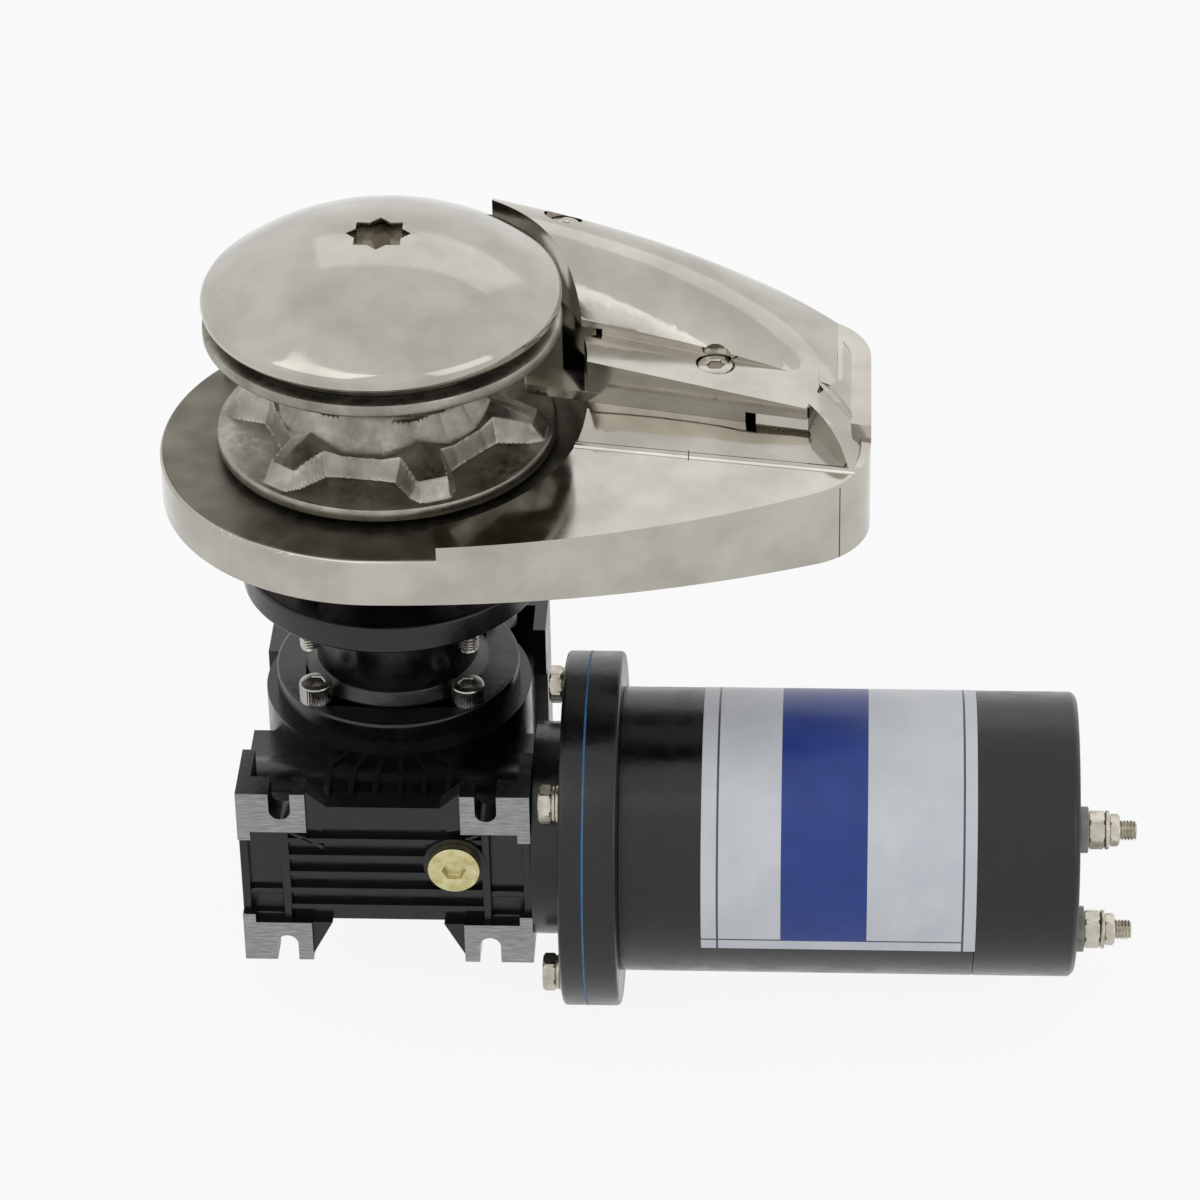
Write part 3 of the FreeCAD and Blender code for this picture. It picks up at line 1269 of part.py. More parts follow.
core_tools = []
for index, angle in enumerate(around(int(float(s.armature_slots)), 0.0)):
    slot = box("core_slot_%d" % index, (s.armature_length + 4, 2 * s.slot_depth, s.slot_width), ORIGIN)
    turn = FreeCAD.Rotation(FreeCAD.Vector(1, 0, 0), angle)
    corner = turn.multVec(FreeCAD.Vector(0, float(armature_radius - s.slot_depth),
                                         -float(s.slot_width) / 2))
    place(slot, (core_start - 2, worm_line + corner.y, worm_level + corner.z), turn)
    core_tools.append(slot)
keep(cut("armature_core", turned("armature_turning", [
    (core_start, s.armature_shaft_radius), (core_start, armature_radius), (core_end, armature_radius),
    (core_end, s.armature_shaft_radius)], "X", motor_axis), core_tools), "armature_core")
plate_face = tube_rear + 1
commutator_start = plate_face - s.brush_depth - 6
keep(turned("commutator", [
    (commutator_start, s.armature_shaft_radius), (commutator_start, s.commutator_radius),
    (commutator_start + s.commutator_length, s.commutator_radius),
    (commutator_start + s.commutator_length, s.armature_shaft_radius)], "X", motor_axis), "commutator")
shaft_start = s.worm_thread_length / 2 + 7
keep(turned("armature_shaft", [
    (shaft_start, 0), (shaft_start, s.armature_shaft_radius), (rear_floor - 1.5, s.armature_shaft_radius),
    (rear_floor - 0.5, s.armature_shaft_radius - 1), (rear_floor - 0.5, 0)], "X", motor_axis),
    "armature_shaft")
keep(turned("brush_plate", [
    (plate_face, s.brush_plate_bore), (plate_face, rim_inner),
    (plate_face + s.brush_plate_thickness, rim_inner),
    (plate_face + s.brush_plate_thickness, s.brush_plate_bore)], "X", motor_axis), "brush_plate")
brush_face = s.commutator_radius + s.seat_gap
for name, level in (("brush_upper", worm_level + brush_face),
                    ("brush_lower", worm_level - brush_face - s.brush_length)):
    keep(box(name, (s.brush_depth, s.brush_width, s.brush_length),
             (plate_face - s.brush_depth, worm_line - s.brush_width / 2, level)), name)

stud_foot = motor_end - s.motor_wall * 3
nut_face = motor_end + s.insulator_height + s.terminal_nut_height
stud_tip = motor_end + s.terminal_reach
for name, (y, z) in zip(("upper", "lower"), stations):
    keep(turned("terminal_stud_" + name, [
        (stud_foot, 0), (stud_foot, s.terminal_neck_radius), (nut_face, s.terminal_neck_radius),
        (nut_face, s.terminal_radius), (stud_tip, s.terminal_radius), (stud_tip, 0)],
        "X", (0, y, z)), "terminal_stud_" + name)
    keep(cut("terminal_insulator_" + name, cylinder("insulator_disc_" + name, s.insulator_radius,
                                                    s.insulator_height, (motor_end, y, z), "X"), [
        cylinder("insulator_bore_" + name, s.terminal_neck_radius, 4 * s.insulator_height,
                 (motor_end - s.insulator_height, y, z), "X")]), "terminal_insulator_" + name)
    keep(cut("terminal_nut_" + name, hexagon("nut_block_" + name, s.terminal_nut, s.terminal_nut_height,
                                             (motor_end + s.insulator_height, y, z), "X"), [
        cylinder("nut_bore_" + name, s.terminal_neck_radius, 3 * s.terminal_nut_height,
                 (motor_end - s.terminal_nut_height, y, z), "X")]), "terminal_nut_" + name)


# ---------------------------------------------------------------- check and write
def check_and_write():
    doc.recompute()
    for item in doc.Objects:
        if "Invalid" in item.State or "Error" in item.State:
            raise RuntimeError("%s failed: %s" % (item.Name, item.State))
    os.makedirs("parts", exist_ok=True)
    for item in nodes:
        shape = item.Shape
        if shape.isNull() or not shape.isValid():
            raise RuntimeError("%s has no valid shape" % item.Label)
        shape.exportStep("parts/%s.step" % item.Label)
        print("%-24s %d solid(s) %12.1f mm3" % (item.Label, len(shape.Solids), shape.Volume))


check_and_write()
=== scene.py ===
"""A vertical anchor windlass dressed for rendering: polished deck unit, black gearbox and motor."""
import math

import bmesh
import bpy
import numpy as np
from mathutils import Matrix, Vector


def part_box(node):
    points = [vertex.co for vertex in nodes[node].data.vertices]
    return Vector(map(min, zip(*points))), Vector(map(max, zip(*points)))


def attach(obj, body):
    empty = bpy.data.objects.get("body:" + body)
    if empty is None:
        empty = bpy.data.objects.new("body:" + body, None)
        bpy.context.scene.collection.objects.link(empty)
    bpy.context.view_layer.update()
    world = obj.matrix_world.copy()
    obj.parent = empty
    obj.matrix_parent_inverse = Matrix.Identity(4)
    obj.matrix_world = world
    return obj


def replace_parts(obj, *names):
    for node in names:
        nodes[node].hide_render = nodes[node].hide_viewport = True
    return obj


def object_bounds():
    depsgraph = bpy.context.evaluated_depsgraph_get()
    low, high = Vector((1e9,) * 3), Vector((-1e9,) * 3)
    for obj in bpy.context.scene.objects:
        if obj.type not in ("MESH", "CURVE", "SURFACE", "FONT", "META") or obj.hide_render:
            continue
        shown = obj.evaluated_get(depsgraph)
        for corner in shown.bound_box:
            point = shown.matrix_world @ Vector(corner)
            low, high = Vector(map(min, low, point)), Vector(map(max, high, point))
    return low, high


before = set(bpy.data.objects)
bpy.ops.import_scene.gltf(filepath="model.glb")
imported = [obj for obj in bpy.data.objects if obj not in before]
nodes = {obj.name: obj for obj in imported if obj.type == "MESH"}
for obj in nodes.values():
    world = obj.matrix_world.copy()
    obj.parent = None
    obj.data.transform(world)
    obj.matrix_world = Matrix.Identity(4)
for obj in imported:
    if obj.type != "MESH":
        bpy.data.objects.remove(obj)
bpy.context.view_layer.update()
MM = 0.001
TURN = 2 * math.pi


# ------------------------------------------------------------------ meshes
def mesh_piece(name, points, faces, finish, body, smooth_angle=35.0, uv=None):
    """A piece from points in millimetres and faces, with its finish, riding on a body."""
    mesh = bpy.data.meshes.new(name)
    mesh.from_pydata((np.asarray(points) * MM).tolist(), [], np.asarray(faces).tolist())
    mesh.validate()
    mesh.update()
    if uv is not None:
        layer = mesh.uv_layers.new(name="UVMap")
        corner = np.empty(len(mesh.loops), dtype=np.int32)
        mesh.loops.foreach_get("vertex_index", corner)
        layer.data.foreach_set("uv", np.asarray(uv)[corner].ravel())
    piece = bpy.data.objects.new(name, mesh)
    bpy.context.scene.collection.objects.link(piece)
    mesh.materials.append(finish)
    mesh.shade_smooth()
    mesh.set_sharp_from_angle(angle=math.radians(smooth_angle))
    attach(piece, body)
    return piece


def grid_faces(rings, around, closed_rings=False):
    """Quads of a grid of rings x around points; every ring is closed, and the rings may be too."""
    row = np.arange(rings if closed_rings else rings - 1)[:, None]
    col = np.arange(around)[None, :]
    up = (row + 1) % rings
    right = (col + 1) % around
    return np.stack([row * around + col, row * around + right, up * around + right, up * around + col],
                    axis=-1).reshape(-1, 4)


def capped(points):
    """Rings of points (rings x around x 3) with a centre point closing each end, and their faces."""
    rings, around, _ = points.shape
    ends = np.stack([points[0].mean(axis=0), points[-1].mean(axis=0)])
    col = np.arange(around)
    right = (col + 1) % around
    low = np.full(around, rings * around)
    first = np.stack([low, right, col, col], axis=-1)
    last = np.stack([low + 1, (rings - 1) * around + col, (rings - 1) * around + right,
                     (rings - 1) * around + right], axis=-1)
    quads = grid_faces(rings, around).tolist()
    triangles = np.concatenate([first[:, :3], last[:, :3]]).tolist()
    return np.concatenate([points.reshape(-1, 3), ends]), quads + triangles


def faces_piece(name, points, faces, finish, body, smooth_angle=35.0):
    """As mesh_piece, for a mixed list of quads and triangles."""
    mesh = bpy.data.meshes.new(name)
    mesh.from_pydata((np.asarray(points) * MM).tolist(), [], faces)
    mesh.update()
    piece = bpy.data.objects.new(name, mesh)
    bpy.context.scene.collection.objects.link(piece)
    mesh.materials.append(finish)
    mesh.shade_smooth()
    mesh.set_sharp_from_angle(angle=math.radians(smooth_angle))
    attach(piece, body)
    return piece


def along(points, axis, at):
    """Turn rings drawn about Z so that they run along X or stay on Z, and put them at a place."""
    points = np.asarray(points)
    if axis == "X":
        points = np.stack([points[..., 2], points[..., 0], points[..., 1]], axis=-1)
    return points + np.asarray(at, dtype=float)


def lathe(profile, count=96):
    """Rings of a turned form: radius r and level z of the profile, swept by x = r cos a, y = r sin a."""
    profile = np.asarray(profile, dtype=float)
    angle = np.arange(count) * TURN / count
    radius, level = profile[:, :1], profile[:, 1:]
    return np.stack([radius * np.cos(angle), radius * np.sin(angle), level + 0 * angle], axis=-1)


def threaded_rings(radius, low, high, pitch=1.25, depth=0.72, count=40):
    """Rod surface whose radius falls and rises as a triangle wave of z / pitch - angle / turn."""
    level = np.linspace(low, high, int((high - low) / (pitch / 8)) + 1)[:, None]
    angle = np.arange(count)[None, :] * TURN / count
    wave = np.abs(2 * np.mod(level / pitch - angle / TURN, 1) - 1)
    ends = np.clip(np.minimum(level - low, high - level) / pitch, 0, 1)
    reach = radius - depth * (1 - wave) - (1 - ends) * 0.5
    return np.stack([reach * np.cos(angle), reach * np.sin(angle), level + 0 * angle], axis=-1)


def hex_radius(angle, across):
    """Distance from the centre to a hexagon's side at an angle: half across / cos(angle to its flat)."""
    return across / 2 / np.cos(np.mod(angle, TURN / 6) - TURN / 12)


def hex_rings(across, low, high, bore, count=96, chamfer=0.9):
    """A hexagon nut or head: bore, faces and flats, its corners cut back by a shallow cone."""
    angle = np.arange(count) * TURN / count
    flats = hex_radius(angle, across)
    rings = []
    for radius, level in ((bore, low), (np.minimum(flats, across / 2 * 0.97), low),
                          (np.minimum(flats, across / 2 + 0.35), low + chamfer * 0.45),
                          (flats, low + chamfer), (flats, high - chamfer),
                          (np.minimum(flats, across / 2 + 0.35), high - chamfer * 0.45),
                          (np.minimum(flats, across / 2 * 0.97), high), (bore, high)):
        radius = radius + 0 * angle
        rings.append(np.stack([radius * np.cos(angle), radius * np.sin(angle), level + 0 * angle], axis=-1))
    return np.array(rings)


def socket_head_rings(radius, foot, seat, top, across, shank, depth, knurl=0.0, count=144):
    """A cap screw from socket floor outwards: hexagon socket, rounded rim, knurled side, shank."""
    angle = np.arange(count) * TURN / count
    flats = hex_radius(angle, across)
    ripple = knurl * np.abs(np.sin(angle * 18))
    shape = [(flats, top - depth), (flats, top - 0.4), (flats + 0.4, top), (radius - 0.8, top),
             (radius - 0.25, top - 0.25), (radius, top - 0.8), (radius - ripple, top - 1.3),
             (radius - ripple, seat + 1.0), (radius, seat + 0.5), (radius, seat), (shank, seat), (shank,
                                                                                                  foot)]
    return np.array([np.stack([(r + 0 * angle) * np.cos(angle), (r + 0 * angle) * np.sin(angle),
                               z + 0 * angle], axis=-1) for r, z in shape])


def dressed(node, finish, body, width=0.7, segments=2):
    """The CAD solid with its triangles merged and its edges rounded by a small bevel."""
    source = nodes[node]
    mesh = source.data.copy()
    mesh.name = "dressed_" + node
    mesh.materials.clear()
    mesh.materials.append(finish)
    work = bmesh.new()
    work.from_mesh(mesh)
    bmesh.ops.remove_doubles(work, verts=work.verts, dist=0.00002)
    bmesh.ops.dissolve_limit(work, angle_limit=math.radians(0.6), verts=work.verts, edges=work.edges)
    for face in work.faces:
        face.material_index = 0
        face.smooth = True
    work.to_mesh(mesh)
    work.free()
    piece = bpy.data.objects.new("dressed_" + node, mesh)
    bpy.context.scene.collection.objects.link(piece)
    piece.matrix_world = source.matrix_world
    if width:
        bevel = piece.modifiers.new("edge_round", "BEVEL")
        bevel.width = width * MM
        bevel.segments = segments
        bevel.limit_method = "ANGLE"
        bevel.angle_limit = math.radians(32)
        bevel.use_clamp_overlap = True
        shade = piece.modifiers.new("flat_faces", "WEIGHTED_NORMAL")
        shade.keep_sharp = True
    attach(piece, body)
    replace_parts(piece, node)
    return piece


# ------------------------------------------------------------------ finishes
def colour(code):
    """An sRGB hex value as linear red, green, blue and alpha."""
    parts = [int(code[i:i + 2], 16) / 255 for i in (1, 3, 5)]
    return [p / 12.92 if p <= 0.04045 else ((p + 0.055) / 1.055) ** 2.4 for p in parts] + [1.0]


def add(tree, kind, links=(), inputs=None, **settings):
    """Add a node with its settings, its input values, and links given as (input, node, output)."""
    item = tree.nodes.new(kind)
    for key, value in settings.items():
        setattr(item, key, value)
    for key, value in (inputs or {}).items():
        item.inputs[key].default_value = value
    for key, source, output in links:
        tree.links.new(source.outputs[output], item.inputs[key])
    return item


def finish_base(name, code, metallic, roughness):
    """An empty material with its shader and object coordinates."""
    material = bpy.data.materials.new(name)
    material.use_nodes = True
    tree = material.node_tree
    tree.nodes.clear()
    out = tree.nodes.new("ShaderNodeOutputMaterial")
    shader = tree.nodes.new("ShaderNodeBsdfPrincipled")
    shader.inputs["Base Color"].default_value = colour(code)
    shader.inputs["Metallic"].default_value = metallic
    shader.inputs["Roughness"].default_value = roughness
    tree.links.new(shader.outputs["BSDF"], out.inputs["Surface"])
    place = tree.nodes.new("ShaderNodeTexCoord")
    return material, tree, shader, place


def mottle(tree, place, size_mm, detail=3.0):
    """Noise whose blotches are about the given size."""
    return add(tree, "ShaderNodeTexNoise", [("Vector", place, "Object")],
               {"Scale": 1.0 / (size_mm * MM), "Detail": detail, "Roughness": 0.55})


def spread(tree, source, low, high, output="Fac"):
    """Map noise from its usual 0.3 to 0.7 onto a range of values."""
    return add(tree, "ShaderNodeMapRange", [("Value", source, output)],
               {"From Min": 0.3, "From Max": 0.7, "To Min": low, "To Max": high})


def tint(tree, source, dark, light, output="Fac"):
    """Two shades mixed by noise."""
    ramp = add(tree, "ShaderNodeValToRGB", [("Fac", source, output)])
    ramp.color_ramp.elements[0].position = 0.32
    ramp.color_ramp.elements[1].position = 0.68
    ramp.color_ramp.elements[0].color = colour(dark)
    ramp.color_ramp.elements[1].color = colour(light)
    return ramp


def relief(tree, shader, source, height_mm, output="Fac"):
    """Bump of a given height in millimetres."""
    bump = add(tree, "ShaderNodeBump", [("Height", source, output)], {"Strength": 1.0,
                                                                     "Distance": height_mm * MM})
    tree.links.new(bump.outputs["Normal"], shader.inputs["Normal"])
    return bump


def polished_stainless(name="polished_stainless", dark="#a9a59c", light="#bdb9b0"):
    """Buffed 316 stainless: a near mirror whose hand polishing leaves slow waves and soft haze."""
    material, tree, shader, place = finish_base(name, light, 1.0, 0.1)
    haze = mottle(tree, place, 26.0)
    tree.links.new(tint(tree, haze, dark, light).outputs["Color"], shader.inputs["Base Color"])
    buff = mottle(tree, place, 9.0)
    tree.links.new(spread(tree, buff, 0.07, 0.16).outputs["Result"], shader.inputs["Roughness"])
    relief(tree, shader, mottle(tree, place, 38.0, 1.0), 0.10)
    return material


def satin_cast_stainless(name="satin_cast_stainless", dark="#7d786e", light="#a9a59b"):
    """Cast stainless, blasted and lightly brushed: grey with a fine grit of about half a millimetre."""
    material, tree, shader, place = finish_base(name, light, 1.0, 0.36)
    tree.links.new(tint(tree, mottle(tree, place, 14.0), dark, light).outputs["Color"],
                   shader.inputs["Base Color"])
    tree.links.new(spread(tree, mottle(tree, place, 3.0), 0.26, 0.46).outputs["Result"],
                   shader.inputs["Roughness"])
    relief(tree, shader, mottle(tree, place, 0.6), 0.05)
    return material


def seam(tree, split, *spans):
    """One inside a box given by its spans of x, y and z in metres, and nought outside it."""
    inside = None
    for axis, (low, high) in zip("XYZ", spans):
        above = add(tree, "ShaderNodeMath", [(0, split, axis)], {1: low}, operation="GREATER_THAN")
        below = add(tree, "ShaderNodeMath", [(0, split, axis)], {1: high}, operation="LESS_THAN")
        both = add(tree, "ShaderNodeMath", [(0, above, "Value"), (1, below, "Value")], operation="MULTIPLY")
        if inside is not None:
            both = add(tree, "ShaderNodeMath", [(0, inside, "Value"), (1, both, "Value")],
                       operation="MULTIPLY")
        inside = both
    return inside


GROUND_LEVEL = 0.01965          # just under the round end's top, in metres
BEAD_SEAM = ((0.1176, 0.1180), (-0.0352, -0.0292), (0.026, 0.06))
NOSE_SEAM = ((0.1752, 0.1756), (-0.09, -0.045), (0.0, 0.031))


def deck_plate_stainless():
    """Polished all over but for the ground, matte top of the round end."""
    material, tree, shader, place = finish_base("deck_plate_stainless", "#c6c3ba", 1.0, 0.1)
    split = add(tree, "ShaderNodeSeparateXYZ", [("Vector", place, "Object")])
    level = add(tree, "ShaderNodeMath", [(0, split, "Z")], {1: GROUND_LEVEL}, operation="LESS_THAN")
    facing = add(tree, "ShaderNodeSeparateXYZ", [("Vector", place, "Normal")])
    upward = add(tree, "ShaderNodeMath", [(0, facing, "Z")], {1: 0.85}, operation="GREATER_THAN")
    matte = add(tree, "ShaderNodeMath", [(0, level, "Value"), (1, upward, "Value")], operation="MULTIPLY")
    ground = tint(tree, mottle(tree, place, 16.0), "#625e55", "#7b776c")
    mirror = tint(tree, mottle(tree, place, 26.0), "#a9a59c", "#bdb9b0")
    shade = add(tree, "ShaderNodeMix",
                [("Factor", matte, "Value"), (6, mirror, "Color"), (7, ground, "Color")], data_type="RGBA")
    tree.links.new(shade.outputs[2], shader.inputs["Base Color"])
    buff = spread(tree, mottle(tree, place, 9.0), 0.06, 0.15)
    grit = spread(tree, mottle(tree, place, 4.0), 0.34, 0.48)
    rough = add(tree, "ShaderNodeMix",
                [("Factor", matte, "Value"), (2, buff, "Result"), (3, grit, "Result")], data_type="FLOAT")
    tree.links.new(rough.outputs[0], shader.inputs["Roughness"])
    relief(tree, shader, mottle(tree, place, 38.0, 1.0), 0.10)
    bead_seam, nose_seam = seam(tree, split, *BEAD_SEAM), seam(tree, split, *NOSE_SEAM)
    seams = add(tree, "ShaderNodeMath", [(0, bead_seam, "Value"), (1, nose_seam, "Value")],
                operation="MAXIMUM")
    lined = add(tree, "ShaderNodeMix", [("Factor", seams, "Value"), (6, shade, 2)], {7: colour("#3b3934")},
                data_type="RGBA")
    tree.links.new(lined.outputs[2], shader.inputs["Base Color"])
    return material


PAD_FACE = -0.08575             # the machined feet lie in front of this y, in metres


def black_enamel(name="black_enamel", pads=False):
    """Gloss black stoving enamel over castings: deep black with a faint orange peel of 3 mm."""
    material, tree, shader, place = finish_base(name, "#0b0b0d", 0.0, 0.24)
    tree.links.new(spread(tree, mottle(tree, place, 11.0), 0.18, 0.34).outputs["Result"],
                   shader.inputs["Roughness"])
    dust = tint(tree, mottle(tree, place, 7.0), "#08080a", "#131316")
    peel = mottle(tree, place, 3.0, 1.0)
    relief(tree, shader, peel, 0.06)
    if not pads:
        tree.links.new(dust.outputs["Color"], shader.inputs["Base Color"])
        return material
    split = add(tree, "ShaderNodeSeparateXYZ", [("Vector", place, "Object")])
    bare = add(tree, "ShaderNodeMath", [(0, split, "Y")], {1: PAD_FACE}, operation="LESS_THAN")
    lines = add(tree, "ShaderNodeMapping", [("Vector", place, "Object")], {"Scale": (1.0, 1.0, 14.0)})
    streak = add(tree, "ShaderNodeTexNoise", [("Vector", lines, "Vector")], {"Scale": 160.0, "Detail": 4.0})
    metal = tint(tree, streak, "#7d7e80", "#a3a4a5")
    shade = add(tree, "ShaderNodeMix", [("Factor", bare, "Value"), (6, dust, "Color"), (7, metal, "Color")],
                data_type="RGBA")
    tree.links.new(shade.outputs[2], shader.inputs["Base Color"])
    tree.links.new(bare.outputs["Value"], shader.inputs["Metallic"])
    return material


def plain_metal(name, dark, light, rough_low, rough_high, grain_mm=2.0, bump_mm=0.02):
    """Machined or plated metal: two shades in fine grain and a little roughness."""
    material, tree, shader, place = finish_base(name, light, 1.0, rough_low)
    tree.links.new(tint(tree, mottle(tree, place, grain_mm * 3), dark, light).outputs["Color"],
                   shader.inputs["Base Color"])
    tree.links.new(spread(tree, mottle(tree, place, grain_mm), rough_low, rough_high).outputs["Result"],
                   shader.inputs["Roughness"])
    relief(tree, shader, mottle(tree, place, grain_mm / 3), bump_mm)
    return material


def moulded_plastic(name, dark, light, roughness=0.45):
    """Moulded insulating plastic with a faint sheen and fine skin."""
    material, tree, shader, place = finish_base(name, light, 0.0, roughness)
    tree.links.new(tint(tree, mottle(tree, place, 5.0), dark, light).outputs["Color"],
                   shader.inputs["Base Color"])
    relief(tree, shader, mottle(tree, place, 0.8), 0.02)
    return material


def label_film():
    """White polypropylene film with a printed blue band and a thin dark frame, and no lettering."""
    material, tree, shader, place = finish_base("label_film", "#e9ebee", 0.0, 0.32)
    split = add(tree, "ShaderNodeSeparateXYZ", [("Vector", place, "UV")])

    def between(axis, low, high):
        above = add(tree, "ShaderNodeMath", [(0, split, axis)], {1: low}, operation="GREATER_THAN")
        below = add(tree, "ShaderNodeMath", [(0, split, axis)], {1: high}, operation="LESS_THAN")
        return add(tree, "ShaderNodeMath", [(0, above, "Value"), (1, below, "Value")], operation="MULTIPLY")

    inside = add(tree, "ShaderNodeMath", [(0, between("X", 0.0, LABEL_FRAME[1]), "Value"),
                                          (1, between("Y", LABEL_FRAME[2], 2.0),
                                           "Value")], operation="MULTIPLY")
    band = add(tree, "ShaderNodeMath", [(0, between("X", *LABEL_BAND), "Value"),
                                        (1, between("Y", LABEL_FRAME[2], 2.0),
                                         "Value")], operation="MULTIPLY")
    left = between("X", LABEL_FRAME[0], LABEL_FRAME[0] + 0.008)
    right = between("X", LABEL_FRAME[1], LABEL_FRAME[1] + 0.008)
    foot = add(tree, "ShaderNodeMath", [(0, between("Y", LABEL_FRAME[2], LABEL_FRAME[2] + 0.005), "Value"),
                                        (1, inside, "Value")], operation="MULTIPLY")
    lines = add(tree, "ShaderNodeMath", [(0, left, "Value"), (1, right, "Value")], operation="MAXIMUM")
    rule = add(tree, "ShaderNodeMath", [(0, lines, "Value"), (1, foot, "Value")], operation="MAXIMUM")
    paper = tint(tree, mottle(tree, place, 20.0), "#e2e5ea", "#eff0f2")
    blue = tint(tree, mottle(tree, place, 12.0), "#1c3a8c", "#24459b")
    first = add(tree, "ShaderNodeMix", [("Factor", rule, "Value"), (6, paper, "Color")],
                {7: colour("#4a5364")}, data_type="RGBA")
    shade = add(tree, "ShaderNodeMix", [("Factor", band, "Value"), (6, first, 2), (7, blue, "Color")],
                data_type="RGBA")
    tree.links.new(shade.outputs[2], shader.inputs["Base Color"])
    relief(tree, shader, mottle(tree, place, 24.0, 1.0), 0.05)
    return material


# ------------------------------------------------------------------ sizes read from the frame
def span(node):
    low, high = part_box(node)
    return np.array(low) / MM, np.array(high) / MM


cap_low, cap_high = span("clutch_cap")
wheel_low, wheel_high = span("gypsy")
tube_low, tube_high = span("motor_tube")
flange_low, flange_high = span("motor_front_cap")
LABEL_SPAN = (tube_low[0] + 32.0, tube_low[0] + 138.0)
LABEL_ARC = (-19.0, 135.0)
LABEL_FRAME = (0.055, 0.949, 0.035)
LABEL_BAND = (0.29, 0.604)
motor_y, motor_z = (tube_low[1] + tube_high[1]) / 2, (tube_low[2] + tube_high[2]) / 2
motor_radius = (tube_high[2] - tube_low[2]) / 2

POLISH = polished_stainless()
CAST = satin_cast_stainless()
PLATE = deck_plate_stainless()
ENAMEL = black_enamel()
CASTING = black_enamel("black_enamel_casting", pads=True)
ZINC = plain_metal("bright_zinc_plate", "#aaa597", "#cfcabc", 0.22, 0.38)
YELLOW = plain_metal("yellow_passivated_zinc", "#bdb27c", "#d6cfa6", 0.25, 0.40, 1.4)
STEEL = plain_metal("stainless_fixing", "#9a978f", "#c3c0b8", 0.18, 0.34)
DARK_STEEL = plain_metal("machined_steel", "#4c4a46", "#67655f", 0.30, 0.45)
BRONZE = plain_metal("bearing_bronze", "#9a7740", "#b8925a", 0.30, 0.45)
COPPER = plain_metal("copper_bar", "#a5603c", "#c47a52", 0.28, 0.42)
IRON = plain_metal("cast_iron", "#2c2c2e", "#414143", 0.50, 0.65)
GREY_PLASTIC = moulded_plastic("grey_insulator", "#8f8c84", "#aaa79f")
BLACK_PLASTIC = moulded_plastic("black_insulator", "#101012", "#1a1a1c")
CARBON = moulded_plastic("pressed_carbon", "#1b1b1d", "#2a2a2c", 0.7)
SEALANT = moulded_plastic("flange_sealant", "#2f6f9e", "#3f86b8", 0.5)
LABEL = label_film()

INSIDE = {"shaft_bush": BRONZE, "thrust_washer": BRONZE, "worm_wheel": BRONZE, "commutator": COPPER,
          "wheel_hub": IRON, "armature_core": IRON, "upper_magnet": CARBON, "lower_magnet": CARBON,
          "brush_upper": CARBON, "brush_lower": CARBON, "brush_plate": BLACK_PLASTIC}
for name, item in nodes.items():
    item.data.materials.clear()
    item.data.materials.append(INSIDE.get(name, DARK_STEEL))

DRESSED = {"deck_plate": (PLATE, 1.2), "chain_hood": (POLISH, 1.2), "chain_stripper": (POLISH, 0.8),
           "deck_tube": (ENAMEL, 0.3), "mounting_spool": (ENAMEL, 0.8),
           "gearbox_housing": (CASTING, 0.8), "case_cover": (ENAMEL, 0.8), "worm_end_cap": (ENAMEL, 0.5),
           "oil_plug": (YELLOW, 0.4), "motor_adapter": (ENAMEL, 0.8), "motor_front_cap": (ENAMEL, 0.8),
           "motor_tube": (ENAMEL, 0.3), "motor_rear_cap": (ENAMEL, 0.8),
           "terminal_insulator_upper": (GREY_PLASTIC, 0.4), "terminal_insulator_lower": (GREY_PLASTIC, 0.4)}
for name, (finish, width) in DRESSED.items():
    dressed(name, finish, "base", width)


# ------------------------------------------------------------------ clutch cap
def cap_rings(count=192):
    """Dome z = top - rise (r / R)^2.3 from a star-shaped socket out to a rolled rim and back under.

    The star is two squares set at 45 degrees: r = apothem / cos of the angle to the nearest flat."""
    angle = np.arange(count) * TURN / count
    apothem = 12.25 / math.sqrt(2)
    first = apothem / np.cos(np.mod(angle, TURN / 4) - TURN / 8)
    second = apothem / np.cos(np.mod(angle + TURN / 8, TURN / 4) - TURN / 8)
    star = np.maximum(first, second)
    radius, top, low = cap_high[0], cap_high[2], cap_low[2]
    rings = [(star, top - 9.0), (star, top - 1.0), (star + 0.25, top - 0.35)]
    for t in np.linspace(0.04, 1.0, 40):
        mix = np.minimum(t * 2.5, 1.0)
        reach = (star + 0.6) * (1 - t) + (radius - 2.4) * t
        even = (apothem * 1.15) * (1 - t) + (radius - 2.4) * t
        reach = reach * (1 - mix) + even * mix
        level = top - (top - low - 8.6) * (reach / (radius - 2.4)) ** 2.3
        rings.append((reach, level - 0.1))
    rim = [(radius - 1.3, low + 7.5), (radius - 0.4, low + 6.0), (radius, low + 4.2),
           (radius - 0.3, low + 2.3),
           (radius - 1.0, low + 0.8), (radius - 2.4, low), (radius - 6.0, low), (radius - 9.0, low + 7.8),
           (20.2, low + 7.8), (20.0, low), (10.2, low), (10.2, low + 12.0)]
    rings += [(r + 0 * angle, z + 0 * angle) for r, z in rim]
    return np.array([np.stack([(r + 0 * angle) * np.cos(angle), (r + 0 * angle) * np.sin(angle),
                               z + 0 * angle], axis=-1) for r, z in rings])


points, faces = capped(cap_rings())
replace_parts(faces_piece("cap_dome", points, faces, POLISH, "cap", 40), "clutch_cap")


# ------------------------------------------------------------------ chain wheel
POCKETS = 6
POCKET_TURN = 52.0


def pocket_depth(out, side):
    """How far a point lies inside a pocket: the least distance to its chord wall and to its ribs.

    out and side are the point's distances along and across the pocket's middle line. The rib's flank
    runs from 15 mm beside that line at the chord to 28 mm beside it at the rim."""
    run, rise = 16.5, 12.8
    flank = ((out - 42.0) * rise - (side - 15.0) * run) / math.hypot(run, rise)
    return np.minimum(out - 42.0, flank)


